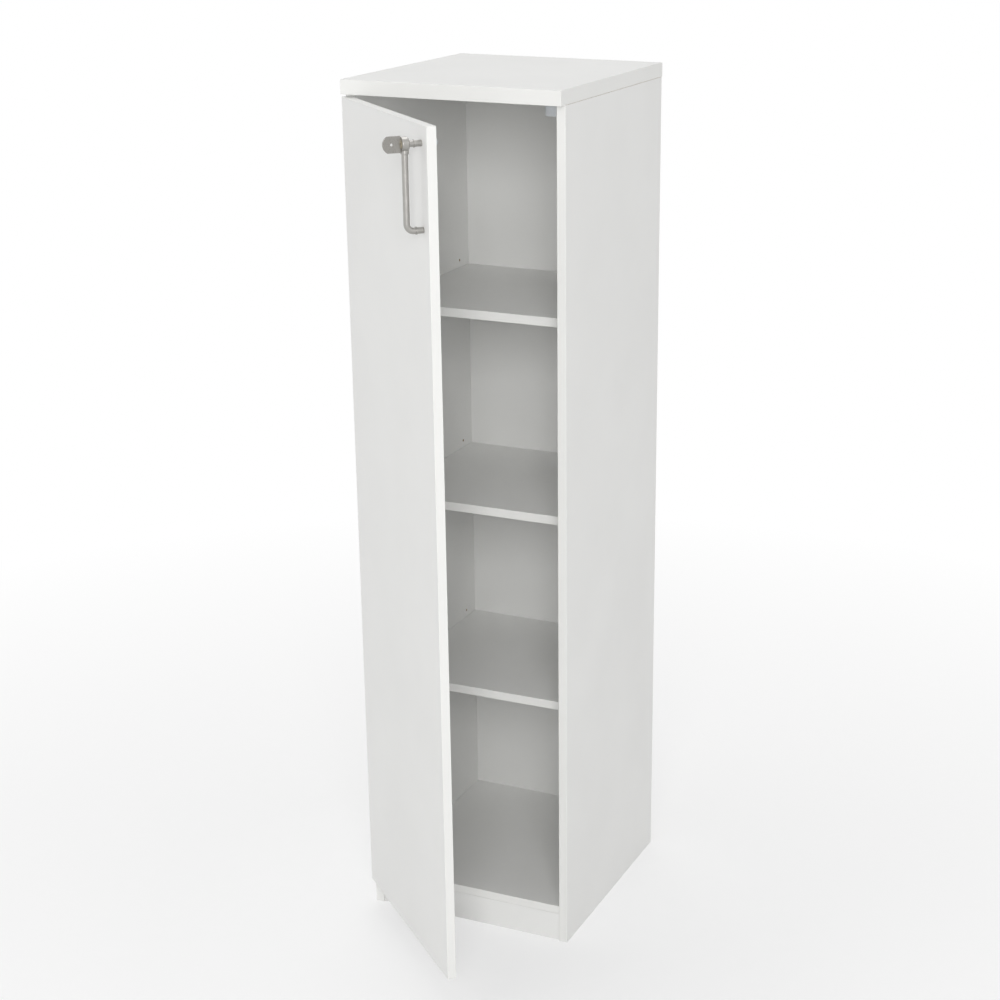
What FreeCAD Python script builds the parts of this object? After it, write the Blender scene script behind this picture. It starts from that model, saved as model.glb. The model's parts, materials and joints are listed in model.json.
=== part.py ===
import FreeCAD, Part
import math
import os
import re

import Sketcher

Vector = FreeCAD.Vector
Rotation = FreeCAD.Rotation
Placement = FreeCAD.Placement

# A tall, narrow, free-standing office cabinet with one door on concealed hinges, three loose shelves,
# and a bow handle with a key lock in its upper end. The door stands part open.
# The pieces are drawn with the door closed: X runs right from the left end of the top, Y runs back
# from the front edge of the top, Z runs up from the floor. What moves is then turned to its rest pose,
# and the whole is shifted so that the origin is the middle of the plinth board's foot.

# Driving sizes, in millimetres and degrees
SIZES = {
    # the whole cabinet and its boards
    "width": 400,
    "depth": 450,
    "height": 1552,
    "top_thick": 25,
    "board": 16,
    "door_thick": 16,
    "band_thick": 2,
    "band_thin": 1,
    "band_round": 1,
    "door_gap": 1.5,
    "door_side_gap": 1.5,
    "door_top_gap": 4,
    "rear_step": 3,
    "plinth_tall": 54,
    "front_step": 4,
    # shelves and their pins
    "shelf_step": 65.5,
    "first_shelf": 382.5,
    "shelf_pitch": 355,
    "shelf_side_gap": 0.5,
    "shelf_rear_gap": 1,
    "pin_hole_radius": 2.5,
    "pin_play": 0.05,
    "pin_hole_deep": 10,
    "pin_in": 9,
    "pin_out": 8,
    "pin_collar_radius": 3.5,
    "pin_collar_thick": 0.4,
    "pin_step": 32,
    "pin_inset": 37,
    # back panel in its grooves
    "back_thick": 3,
    "back_inset": 8,
    "groove_deep": 7,
    "groove_play": 0.1,
    "groove_end_play": 0.5,
    "back_screw_radius": 1.75,
    "back_screw_long": 25,
    "back_screw_head": 3.5,
    "back_screw_head_thick": 2,
    "back_screw_inset": 60,
    # cam fittings and dowels
    "fitting_inset": 62,
    "dowel_step": 32,
    "dowel_radius": 4,
    "dowel_long": 30,
    "dowel_in_face": 10,
    "cam_radius": 7.5,
    "cam_deep": 12.5,
    "cam_inset": 34,
    "cam_bore_radius": 3.7,
    "bolt_radius": 3.5,
    "bolt_hole_play": 0.1,
    "bolt_thread_radius": 2.5,
    "bolt_thread_long": 11,
    "bolt_in_cam": 5,
    "cap_radius": 8.5,
    "cap_thick": 1.2,
    "plinth_dowel_low": 16,
    "plinth_dowel_step": 24,
    # hinges
    "hinge_end": 100,
    "hinge_middle": 716,
    "open_angle": 42,
    "outer_share": -0.27,
    "inner_share": -0.235,
    "outer_arm_across": 24,
    "outer_arm_back": 12.5,
    "inner_arm_across": 22.2,
    "inner_arm_back": 3.2,
    "outer_cup_across": 10.3,
    "outer_cup_deep": 2.2,
    "inner_cup_across": 11.2,
    "inner_cup_deep": 5.6,
    "outer_knee_across": 14.5,
    "outer_knee_deep": 4.2,
    "inner_knee_across": 19.5,
    "inner_knee_deep": 7.8,
    "cup_edge": 5,
    "cup_radius": 17.5,
    "cup_deep": 11.5,
    "cup_play": 0.05,
    "cup_wall": 1.4,
    "cup_floor": 0.8,
    "flange_radius": 20,
    "flange_thick": 1.2,
    "wing_near": 3,
    "wing_far": 16,
    "wing_half": 28,
    "cup_screw_shift": 9.5,
    "cup_screw_half": 22.5,
    "cup_screw_radius": 1.75,
    "cup_screw_long": 12,
    "cup_screw_head": 3.4,
    "cup_screw_head_thick": 1.2,
    "lug_reach": 14.6,
    "lug_low": 0.6,
    "lug_inside": 3.4,
    "lug_thick": 1,
    "link_play": 0.3,
    "link_gap": 0.2,
    "outer_link_thick": 1.4,
    "pivot_radius": 1.1,
    "pivot_play": 0.05,
    "cup_pin_radius": 0.8,
    "open_pivot_play": 1.35,
    "open_eye_radius": 3,
    "inner_knee_radius": 1.8,
    "outer_eye_radius": 2,
    "arm_eye_radius": 2.6,
    "arm_inside": 3.4,
    "arm_wall": 1.2,
    "arm_low": 5,
    "arm_high": 18,
    "arm_rear": 64,
    "arm_neck": 26,
    "plate_thick": 3,
    "plate_half_tall": 24,
    "plate_half_wide": 12,
    "plate_back": 37,
    "plate_screw_half": 16,
    "plate_screw_radius": 2.5,
    "plate_screw_long": 11,
    "plate_screw_head": 5,
    "plate_screw_head_thick": 1.6,
    "rib_half": 3.1,
    "rib_front": 27,
    "rib_rear": 66,
    "rib_top": 14,
    "arm_screw_radius": 2.5,
    "arm_screw_head": 4.2,
    "arm_screw_head_thick": 1.6,
    "arm_screw_long": 9,
    "arm_screw_back": 52,
    # handle
    "handle_edge": 24,
    "lock_drop": 27.5,
    "handle_span": 132,
    "bar_radius": 5,
    "bar_out": 27,
    "bend_radius": 11,
    "stand_radius": 5,
    "stand_long": 11.2,
    "ring_radius": 6.2,
    "ring_thick": 1.8,
    "handle_screw_radius": 2,
    "handle_screw_in": 8,
    "handle_screw_head": 4,
    "handle_screw_head_thick": 2.2,
    "socket_play": 0.1,
    # lock
    "head_radius": 11,
    "head_thick": 12,
    "head_round": 3.5,
    "head_edge": 0.8,
    "neck_radius": 4.5,
    "neck_out_radius": 5,
    "neck_play": 0.05,
    "neck_behind": 5,
    "boss_radius": 6.5,
    "boss_drop": 15,
    "socket_top": 8.4,
    "core_face_radius": 7,
    "core_face_thick": 6,
    "spindle_radius": 3.25,
    "core_play": 0.05,
    "keyway_tall": 4.4,
    "keyway_thick": 1.9,
    "keyway_deep": 23,
    "nut_across": 13,
    "nut_thick": 4,
    "cam_gap": 0.4,
    "lever_thick": 2,
    "lever_hub": 6.5,
    "lever_half": 5,
    "lever_long": 24,
    "lever_screw_radius": 1.5,
    "lever_screw_head": 4,
    "lever_screw_head_thick": 2,
    "lever_screw_long": 8,
    # key
    "blade_tall": 3.8,
    "blade_thick": 1.5,
    "blade_in": 22,
    "blade_in_bow": 8,
    "bow_gap": 0.6,
    "bow_long": 28.4,
    "bow_straight": 20.9,
    "bow_half": 12.7,
    "bow_thick": 2.8,
    "bow_round": 5,
    "bow_hole_radius": 2.2,
    "bow_hole_back": 14,
    # strike plate under the top
    "strike_thick": 1.5,
    "strike_play": 1,
    "strike_half": 10.5,
    "strike_side_gap": 1,
    "strike_drop": 19,
    "strike_deep": 26,
    "strike_screw_back": 15,
    "strike_screw_half": 5.5,
    "strike_screw_radius": 1.75,
    "strike_screw_long": 15,
    "strike_screw_head": 3.2,
    "strike_screw_head_thick": 1.6,
    # door bumpers
    "bumper_radius": 4,
    "bumper_thick": 1.4,
    "bumper_inset": 40,
    "bumper_edge": 6.5,
}

# Places that follow from the sizes
PLACES = {
    "side_front": "door_thick + door_gap",
    "side_rear": "depth - rear_step",
    "top_under": "height - top_thick",
    "inner_right": "width - board",
    "bottom_top": "plinth_tall + board",
    "panel_front": "side_front + front_step",
    "back_rear": "side_rear - back_inset",
    "back_front": "back_rear - back_thick",
    "shelf_front": "side_front + shelf_step",
    "shelf_rear": "back_front - shelf_rear_gap",
    "fitting_front": "side_front + fitting_inset",
    "fitting_rear": "side_rear - fitting_inset",
    "dowel_front": "fitting_front + dowel_step",
    "dowel_rear": "fitting_rear - dowel_step",
    "pin_front": "shelf_front + pin_inset",
    "pin_rear": "shelf_rear - pin_inset",
    "bottom_middle": "plinth_tall + board / 2",
    "plinth_middle": "panel_front + board / 2",
    "door_low": "plinth_tall",
    "door_high": "top_under - door_top_gap",
    "door_right": "width - door_side_gap",
    "cup_middle": "door_side_gap + cup_edge + cup_radius",
    "plate_middle": "side_front + plate_back",
    "arm_outside": "arm_inside + arm_wall",
    "lug_outside": "lug_inside + lug_thick",
    "outer_link_inside": "arm_outside + link_gap",
    "outer_link_outside": "outer_link_inside + outer_link_thick",
    "lock_across": "door_right - handle_edge",
    "lock_level": "door_high - lock_drop",
    "foot_level": "lock_level - handle_span",
    "foot_out": "stand_long + ring_thick",
    "head_out": "bar_out + head_thick / 2",
    "lever_front": "door_thick + neck_behind + cam_gap",
    "strike_front": "lever_front - strike_play - strike_thick",
}

document = FreeCAD.newDocument("StorageCabinet")
sizes = document.addObject("Spreadsheet::Sheet", "Sizes")
places = document.addObject("Spreadsheet::Sheet", "Places")


def full(text, own=False):
    """The formula with each name led by its sheet's name."""
    def lead(match):
        word = match.group()
        if word in SIZES:
            return "Sizes." + word
        if word in PLACES and not own:
            return "Places." + word
        return word
    return re.sub(r"[a-z_]+", lead, str(text))


def fill(sheet, rows):
    for number, (alias, entry) in enumerate(rows.items(), start=1):
        sheet.set("A%d" % number, alias)
        sheet.set("B%d" % number, entry)
        sheet.setAlias("B%d" % number, alias)
    document.recompute()


fill(sizes, {alias: str(number) for alias, number in SIZES.items()})
fill(places, {alias: "=" + full(text, own=True) for alias, text in PLACES.items()})


def value(alias):
    """The plain number that a named size or place has."""
    sheet = sizes if alias in SIZES else places
    return float(getattr(sheet, alias))


def bind(thing, prop, text):
    thing.setExpression(prop, full(text))


# Sub-parts by label, each with the motion that takes it from the closed door to its rest pose

subparts = {}
STILL = Placement()


def keep(thing, label, motion=STILL, local=STILL):
    thing.Label = label
    thing.Placement = home.multiply(motion).multiply(local)
    subparts[label] = thing
    return thing


home = Placement(Vector(-value("width") / 2, -value("plinth_middle"), 0), Rotation())
UP = Vector(0, 0, 1)


def turn_about(x, y, degrees):
    """A turn about the upright line through x, y."""
    return Placement(Vector(), Rotation(UP, degrees), Vector(x, y, 0))


def point(across, back):
    return Vector(value("board") + value(across), value("side_front") + value(back), 0)


def cup_point(across, deep):
    return Vector(value("door_side_gap") + value(across), value("door_thick") - value(deep), 0)


OUTER_ARM = point("outer_arm_across", "outer_arm_back")
INNER_ARM = point("inner_arm_across", "inner_arm_back")
OUTER_CUP = cup_point("outer_cup_across", "outer_cup_deep")
INNER_CUP = cup_point("inner_cup_across", "inner_cup_deep")
OPEN = value("open_angle")
outer_rest = turn_about(OUTER_ARM.x, OUTER_ARM.y, -OPEN * value("outer_share"))
inner_rest = turn_about(INNER_ARM.x, INNER_ARM.y, -OPEN * value("inner_share"))
moved = outer_rest.multVec(OUTER_CUP)
door_rest = Placement(moved - OUTER_CUP, Rotation(UP, -OPEN), OUTER_CUP)

# The lock's own frame on the door: Z points out of the door's face along the lock's axis
at_lock = Placement(Vector(value("lock_across"), 0, value("lock_level")), Rotation(Vector(1, 0, 0), 90))


# Sketches, bodies and their features

def new_body(name):
    return document.addObject("PartDesign::Body", name)


def new_sketch(body, role, lift="0"):
    """An empty sketch on one of the body's own origin planes, lifted along the plane's normal."""
    plane = next(f for f in body.Origin.OriginFeatures if f.Role == role)
    sketch = body.newObject("Sketcher::SketchObject", body.Name + "Sketch")
    sketch.AttachmentSupport = [(plane, "")]
    sketch.MapMode = "FlatFace"
    bind(sketch, "AttachmentOffset.Base.z", lift)
    return sketch


def hold(sketch, kind, *rest, text, near=1.0):
    """A constraint whose size is bound to a formula and starts near the drawn one."""
    number = sketch.addConstraint(Sketcher.Constraint(kind, *rest, near))
    bind(sketch, "Constraints[%d]" % number, text)


def outline(sketch, corners):
    """A closed outline of straight edges through corners given as pairs of formulas."""
    first = sketch.GeometryCount
    count = len(corners)
    for number in range(count):
        here = Vector(number * 10, number * number * 3, 0)
        after = (number + 1) % count
        there = Vector(after * 10, after * after * 3, 0)
        sketch.addGeometry(Part.LineSegment(here, there), False)
    for number in range(count):
        edge = first + number
        after = first + (number + 1) % count
        sketch.addConstraint(Sketcher.Constraint("Coincident", edge, 2, after, 1))
        hold(sketch, "DistanceX", -1, 1, edge, 1, text=corners[number][0])
        hold(sketch, "DistanceY", -1, 1, edge, 1, text=corners[number][1])


def rectangle(sketch, low, high):
    (left, bottom), (right, top) = low, high
    outline(sketch, [(left, bottom), (right, bottom), (right, top), (left, top)])


def circles(sketch, centres, radius):
    for across, along in centres:
        circle = sketch.addGeometry(Part.Circle(Vector(20, 20, 0), UP, 2), False)
        hold(sketch, "DistanceX", -1, 1, circle, 3, text=across)
        hold(sketch, "DistanceY", -1, 1, circle, 3, text=along)
        hold(sketch, "Radius", circle, text=radius)


def pad(body, sketch, length, back=False):
    feature = body.newObject("PartDesign::Pad", body.Name + "Pad")
    feature.Profile = sketch
    feature.Reversed = back
    bind(feature, "Length", length)
    sketch.Visibility = False
    document.recompute()
    return feature


def pocket(body, sketch, length, back=False):
    """A cut that must take material away."""
    before = body.Shape.Volume
    feature = body.newObject("PartDesign::Pocket", body.Name + "Pocket")
    feature.Profile = sketch
    feature.Reversed = back
    bind(feature, "Length", length)
    document.recompute()
    if not body.Shape.Volume < before - 1e-6:
        raise RuntimeError(body.Name + ": a pocket cut nothing")
    return feature


def bore(body, role, lift, centres, radius, deep, back=False):
    sketch = new_sketch(body, role, lift)
    circles(sketch, centres, radius)
    return pocket(body, sketch, deep, back)


def slab(name, role, low, high, lift, thick, back=False):
    """A board: a rectangle on a plane, padded to its thickness."""
    body = new_body(name)
    sketch = new_sketch(body, role, lift)
    rectangle(sketch, low, high)
    pad(body, sketch, thick, back)
    return body


def ring_slab(name, role, low, high, lift, thick, wall, back=False):
    """A band round a board's four edges."""
    (left, bottom), (right, top) = low, high
    body = new_body(name)
    sketch = new_sketch(body, role, lift)
    rectangle(sketch, low, high)
    rectangle(sketch, ("%s + %s" % (left, wall), "%s + %s" % (bottom, wall)),
              ("%s - %s" % (right, wall), "%s - %s" % (top, wall)))
    pad(body, sketch, thick, back)
    return body


def revolve(name, corners):
    """A turned piece: corners are pairs of radius and height, turned about Z."""
    body = new_body(name)
    sketch = new_sketch(body, "XZ_Plane")
    outline(sketch, corners)
    feature = body.newObject("PartDesign::Revolution", name + "Turned")
    feature.Profile = sketch
    feature.ReferenceAxis = (sketch, ["V_Axis"])
    feature.Angle = 360
    document.recompute()
    return body


def round_edges(body, names, radius):
    base = body.Tip
    feature = body.newObject("PartDesign::Fillet", body.Name + "Rounded")
    feature.Base = (base, names)
    bind(feature, "Radius", radius)
    body.Tip = feature
    document.recompute()
    return feature


def outer_edges(shape, axis):
    """The long edges of a band's outer face: at an end of the given axis and on one side of the box."""
    box = shape.BoundBox
    low = (box.XMin, box.YMin, box.ZMin)
    high = (box.XMax, box.YMax, box.ZMax)
    names = []
    for number, edge in enumerate(shape.Edges, start=1):
        middle = edge.CenterOfMass
        at_end = [min(abs(middle[i] - low[i]), abs(middle[i] - high[i])) < 0.01 for i in range(3)]
        if at_end[axis] and sum(at_end) == 2:
            names.append("Edge%d" % number)
    return names


def edges_where(shape, test):
    return ["Edge%d" % n for n, edge in enumerate(shape.Edges, start=1) if test(edge)]


# Plain solids and groups of them

AXES = {
    "x": (Rotation(Vector(0, 1, 0), 90), "x", 1),
    "-x": (Rotation(Vector(0, 1, 0), -90), "x", -1),
    "y": (Rotation(Vector(1, 0, 0), -90), "y", 1),
    "-y": (Rotation(Vector(1, 0, 0), 90), "y", -1),
    "z": (Rotation(), "z", 1),
    "-z": (Rotation(Vector(1, 0, 0), 180), "z", -1),
}


def put(thing, spot, rotation=Rotation()):
    thing.Placement = Placement(Vector(), rotation)
    for axis, text in zip("xyz", spot):
        bind(thing, "Placement.Base." + axis, text)
    return thing


def cylinder(name, radius, length, spot, way="z", start="0"):
    """A cylinder that starts a distance along its way from a spot."""
    rotation, axis, sign = AXES[way]
    thing = document.addObject("Part::Cylinder", name)
    bind(thing, "Radius", radius)
    bind(thing, "Height", length)
    spot = list(spot)
    place = "xyz".index(axis)
    spot[place] = "%s %s (%s)" % (spot[place], "+" if sign > 0 else "-", start)
    return put(thing, spot, rotation)


def box(name, low, high):
    thing = document.addObject("Part::Box", name)
    for prop, near, far in zip(("Length", "Width", "Height"), low, high):
        bind(thing, prop, "(%s) - (%s)" % (far, near))
    return put(thing, low)


def fuse(name, things):
    thing = document.addObject("Part::MultiFuse", name)
    thing.Shapes = things
    return thing


def cut(name, base, tool):
    thing = document.addObject("Part::Cut", name)
    thing.Base = base
    thing.Tool = tool
    return thing


def group(name, things):
    thing = document.addObject("Part::Compound", name)
    thing.Links = things
    return thing


def stepped(name, steps, spot, way):
    """Cylinders in a row on one axis, joined: steps are radius, start and length."""
    rods = []
    for number, (radius, start, length) in enumerate(steps):
        rods.append(cylinder("%sStep%d" % (name, number), radius, length, spot, way, start))
    return fuse(name, rods)


# Boards of the carcass

SHELVES = ("lower", "middle", "upper")
SIDES = ("left", "right")


def shelf_top(number):
    return "bottom_top + first_shelf + %d * shelf_pitch" % number


def pin_level(number):
    return "%s - board - pin_hole_radius" % shelf_top(number)


def hinge_levels():
    return ["door_low + hinge_end", "hinge_middle", "door_high - hinge_end"]


def make_top():
    """The top, with its band all round, a groove for the back panel and holes for bolts and dowels."""
    low = ("band_thick", "band_thick")
    high = ("width - band_thick", "depth - band_thick")
    top = slab("TopPanel", "XY_Plane", low, high, "top_under", "top_thick")
    spots = [("board / 2", "fitting_front"), ("board / 2", "fitting_rear"),
             ("width - board / 2", "fitting_front"), ("width - board / 2", "fitting_rear")]
    bore(top, "XY_Plane", "top_under", spots, "bolt_thread_radius", "bolt_thread_long", back=True)
    spots = [("board / 2", "dowel_front"), ("board / 2", "dowel_rear"),
             ("width - board / 2", "dowel_front"), ("width - board / 2", "dowel_rear")]
    bore(top, "XY_Plane", "top_under", spots, "dowel_radius", "dowel_in_face", back=True)
    groove = new_sketch(top, "XY_Plane", "top_under")
    rectangle(groove, ("board - groove_deep", "back_front - groove_play"),
              ("inner_right + groove_deep", "back_rear + groove_play"))
    pocket(top, groove, "groove_deep", back=True)
    bore(top, "XY_Plane", "top_under", strike_spots(), "strike_screw_radius", "strike_screw_long", back=True)
    keep(top, "top_panel")
    band = ring_slab("TopEdgeBand", "XY_Plane", ("0", "0"), ("width", "depth"), "top_under", "top_thick",
                     "band_thick")
    round_edges(band, outer_edges(band.Shape, 2), "band_round")
    keep(band, "top_edge_band")


def strike_spots():
    return [("lock_across - strike_screw_half", "strike_front + strike_screw_back"),
            ("lock_across + strike_screw_half - strike_side_gap", "strike_front + strike_screw_back")]


def make_side(side):
    """A side panel, with the holes that its neighbours, pins and fittings need."""
    left = side == "left"
    name = side.capitalize()
    outside = "0" if left else "inner_right"
    face = "board" if left else "inner_right"
    panel = slab(name + "Side", "YZ_Plane", ("side_front + band_thin", "0"), ("side_rear", "top_under"),
                 outside, "board")
    groove = new_sketch(panel, "YZ_Plane", face)
    rectangle(groove, ("back_front - groove_play", "0"), ("back_rear + groove_play", "top_under"))
    pocket(panel, groove, "groove_deep", back=not left)
    pins = []
    for number in range(len(SHELVES)):
        for across in ("pin_front", "pin_rear"):
            for step in (-1, 0, 1):
                pins.append((across, "%s + %d * pin_step" % (pin_level(number), step)))
    bore(panel, "YZ_Plane", face, pins, "pin_hole_radius", "pin_hole_deep", back=not left)
    bolts = [("fitting_front", "bottom_middle"), ("fitting_rear", "bottom_middle")]
    bore(panel, "YZ_Plane", face, bolts, "bolt_thread_radius", "bolt_thread_long", back=not left)
    dowels = [("dowel_front", "bottom_middle"), ("dowel_rear", "bottom_middle"),
              ("plinth_middle", "plinth_dowel_low"), ("plinth_middle", "plinth_dowel_low + plinth_dowel_step")]
    bore(panel, "YZ_Plane", face, dowels, "dowel_radius", "dowel_in_face", back=not left)
    cams = [("fitting_front", "top_under - cam_inset"), ("fitting_rear", "top_under - cam_inset")]
    bore(panel, "YZ_Plane", face, cams, "cam_radius", "cam_deep", back=not left)
    middle = "board / 2" if left else "width - board / 2"
    shafts = [(middle, "fitting_front"), (middle, "fitting_rear")]
    bore(panel, "XY_Plane", "top_under", shafts, "bolt_radius + bolt_hole_play", "cam_inset")
    pegs = [(middle, "dowel_front"), (middle, "dowel_rear")]
    bore(panel, "XY_Plane", "top_under", pegs, "dowel_radius", "dowel_long - dowel_in_face")
    if left:
        screws = []
        for level in hinge_levels():
            for sign in "-+":
                screws.append(("plate_middle", "%s %s plate_screw_half" % (level, sign)))
        bore(panel, "YZ_Plane", face, screws, "plate_screw_radius", "plate_screw_long")
    keep(panel, side + "_side_panel")
    band = slab(name + "Band", "YZ_Plane", ("side_front", "0"), ("side_front + band_thin", "top_under"),
                outside, "board")
    keep(band, side + "_side_edge_band")


def make_bottom():
    """The bottom panel, bored at its ends for bolts and dowels and from below for the cams."""
    panel = slab("BottomPanel", "XY_Plane", ("board", "panel_front + band_thin"), ("inner_right", "back_front"),
                 "plinth_tall", "board")
    cams = []
    for across in ("board + cam_inset", "inner_right - cam_inset"):
        for along in ("fitting_front", "fitting_rear"):
            cams.append((across, along))
    bore(panel, "XY_Plane", "plinth_tall", cams, "cam_radius", "cam_deep", back=True)
    bolts = [("fitting_front", "bottom_middle"), ("fitting_rear", "bottom_middle")]
    pegs = [("dowel_front", "bottom_middle"), ("dowel_rear", "bottom_middle")]
    for face, back in (("board", True), ("inner_right", False)):
        bore(panel, "YZ_Plane", face, bolts, "bolt_radius + bolt_hole_play", "cam_inset", back=back)
        bore(panel, "YZ_Plane", face, pegs, "dowel_radius", "dowel_long - dowel_in_face", back=back)
    screws = [(across, "bottom_middle") for across in back_screws()]
    bore(panel, "XZ_Plane", "-back_front", screws, "back_screw_radius", "back_screw_long - back_thick", back=True)
    keep(panel, "bottom_panel")
    band = slab("BottomBand", "XY_Plane", ("board", "panel_front"), ("inner_right", "panel_front + band_thin"),
                "plinth_tall", "board")
    keep(band, "bottom_edge_band")


def make_plinth():
    board = slab("PlinthBoard", "YZ_Plane", ("panel_front", "0"), ("panel_front + board", "plinth_tall"),
                 "board", "inner_right - board")
    pegs = [("plinth_middle", "plinth_dowel_low"), ("plinth_middle", "plinth_dowel_low + plinth_dowel_step")]
    for face, back in (("board", True), ("inner_right", False)):
        bore(board, "YZ_Plane", face, pegs, "dowel_radius", "dowel_long - dowel_in_face", back=back)
    keep(board, "plinth_board")


def back_screws():
    return ["board + back_screw_inset", "width / 2", "inner_right - back_screw_inset"]


def make_back():
    """The thin back panel, held in the grooves of the sides and the top and screwed to the bottom panel."""
    edge = "groove_deep - groove_end_play"
    panel = slab("BackPanel", "XZ_Plane", ("board - (%s)" % edge, "plinth_tall"),
                 ("inner_right + %s" % edge, "top_under + %s" % edge), "-back_front", "back_thick", back=True)
    screws = [(across, "bottom_middle") for across in back_screws()]
    bore(panel, "XZ_Plane", "-back_front", screws, "back_screw_radius", "back_thick")
    keep(panel, "back_panel")
    steps = [("back_screw_radius", "0", "back_screw_long"),
             ("back_screw_head", "-back_screw_head_thick", "back_screw_head_thick")]
    screws = []
    for number, across in enumerate(back_screws()):
        screws.append(stepped("BackScrew%d" % number, steps, (across, "back_rear", "bottom_middle"), "-y"))
    keep(group("BackScrews", screws), "back_panel_screws")


def make_shelf(number, name):
    level = shelf_top(number)
    left = "board + shelf_side_gap"
    right = "inner_right - shelf_side_gap"
    shelf = slab(name.capitalize() + "Shelf", "XY_Plane", (left, "shelf_front + band_thin"), (right, "shelf_rear"),
                 "%s - board" % level, "board")
    keep(shelf, name + "_shelf")
    return box("%sShelfBand" % name.capitalize(), (left, "shelf_front", "%s - board" % level),
               (right, "shelf_front + band_thin", level))


def make_shelves():
    bands = [make_shelf(number, name) for number, name in enumerate(SHELVES)]
    keep(group("ShelfBands", bands), "shelf_edge_bands")
    pins = []
    steps = [("pin_hole_radius - pin_play", "-pin_in", "pin_in + pin_out"),
             ("pin_collar_radius", "0", "pin_collar_thick")]
    for number in range(len(SHELVES)):
        for across in ("pin_front", "pin_rear"):
            for face, way in (("board", "x"), ("inner_right", "-x")):
                spot = (face, across, "%s - pin_play" % pin_level(number))
                pins.append(stepped("ShelfPin%d" % len(pins), steps, spot, way))
    keep(group("ShelfPins", pins), "shelf_pins")


# Cam fittings and dowels

def cam_places():
    """Each cam fitting's joint face, the bolt's way into the far board, and the cam's open side."""
    rows = []
    for along in ("fitting_front", "fitting_rear"):
        rows.append((("board", along, "bottom_middle"), "x", "z"))
        rows.append((("inner_right", along, "bottom_middle"), "-x", "z"))
        rows.append((("board / 2", along, "top_under"), "-z", "x"))
        rows.append((("width - board / 2", along, "top_under"), "-z", "-x"))
    return rows


def make_fittings():
    """Each bolt is screwed into one board's face and reaches into the cam housing sunk in the other board."""
    bolts = []
    housings = []
    steps = [("bolt_thread_radius", "-bolt_thread_long", "bolt_thread_long"),
             ("bolt_radius", "0", "cam_inset - cam_radius + bolt_in_cam")]
    for number, (spot, way, opening) in enumerate(cam_places()):
        bolts.append(stepped("Bolt%d" % number, steps, spot, way))
        axis, sign = AXES[way][1:]
        centre = list(spot)
        place = "xyz".index(axis)
        centre[place] = "%s %s cam_inset" % (centre[place], "+" if sign > 0 else "-")
        if opening == "z":
            centre[2] = "plinth_tall"
            housing = cylinder("Cam%d" % number, "cam_radius", "cam_deep", centre, "z")
        else:
            centre[0] = "board" if opening == "x" else "inner_right"
            inward = "-x" if opening == "x" else "x"
            housing = cylinder("Cam%d" % number, "cam_radius", "cam_deep", centre, inward)
        shaft = cylinder("CamBore%d" % number, "cam_bore_radius", "cam_inset", spot, way)
        housings.append(cut("CamHousing%d" % number, housing, shaft))
    keep(group("ConnectingBolts", bolts), "connecting_bolts")
    keep(group("CamHousings", housings), "cam_housings")
    caps = []
    for along in ("fitting_front", "fitting_rear"):
        for face, way in (("board", "x"), ("inner_right", "-x")):
            spot = (face, along, "top_under - cam_inset")
            caps.append(cylinder("CamCap%d" % len(caps), "cap_radius", "cap_thick", spot, way))
    keep(group("CamCaps", caps), "cam_cover_caps")


def make_dowels():
    pegs = []
    for face, way in (("board", "x"), ("inner_right", "-x")):
        for along, level in (("dowel_front", "bottom_middle"), ("dowel_rear", "bottom_middle"),
                             ("plinth_middle", "plinth_dowel_low"),
                             ("plinth_middle", "plinth_dowel_low + plinth_dowel_step")):
            pegs.append(cylinder("Dowel%d" % len(pegs), "dowel_radius", "dowel_long", (face, along, level), way,
                                 "-dowel_in_face"))
    for across in ("board / 2", "width - board / 2"):
        for along in ("dowel_front", "dowel_rear"):
            pegs.append(cylinder("Dowel%d" % len(pegs), "dowel_radius", "dowel_long",
                                 (across, along, "top_under"), "-z", "-dowel_in_face"))
    keep(group("Dowels", pegs), "dowels")


# Door panel and its band

def make_door():
    """The door panel: sunk cups on the left, a hole for the lock's neck and one for the handle's lower screw."""
    panel = slab("DoorPanel", "XZ_Plane", ("door_side_gap + band_thick", "door_low + band_thick"),
                 ("door_right - band_thick", "door_high - band_thick"), "0", "door_thick", back=True)
    cups = [("cup_middle", level) for level in hinge_levels()]
    bore(panel, "XZ_Plane", "-door_thick", cups, "cup_radius", "cup_deep", back=True)
    bore(panel, "XZ_Plane", "-door_thick", cup_screws(), "cup_screw_radius",
         "cup_screw_long - flange_thick", back=True)
    bore(panel, "XZ_Plane", "0", [("lock_across", "lock_level")], "neck_radius + neck_play", "door_thick")
    bore(panel, "XZ_Plane", "0", [("lock_across", "foot_level")], "handle_screw_radius", "door_thick")
    keep(panel, "door_panel", door_rest)
    band = ring_slab("DoorBand", "XZ_Plane", ("door_side_gap", "door_low"), ("door_right", "door_high"), "0",
                     "door_thick", "band_thick", back=True)
    round_edges(band, outer_edges(band.Shape, 1), "band_round")
    keep(band, "door_edge_band", door_rest)
    pads = []
    for level in ("door_low + bumper_inset", "door_high - bumper_inset - lock_drop"):
        spot = ("door_right - bumper_edge", "door_thick", level)
        pads.append(cylinder("Bumper%d" % len(pads), "bumper_radius", "bumper_thick", spot, "y"))
    keep(group("Bumpers", pads), "door_bumpers", door_rest)


def cup_screws():
    spots = []
    for level in hinge_levels():
        for sign in "-+":
            spots.append(("cup_middle + cup_screw_shift", "%s %s cup_screw_half" % (level, sign)))
    return spots


# Hinges. Their linkage lies in a level plane, so each piece is a plate or a pin that stands on Z.

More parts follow.
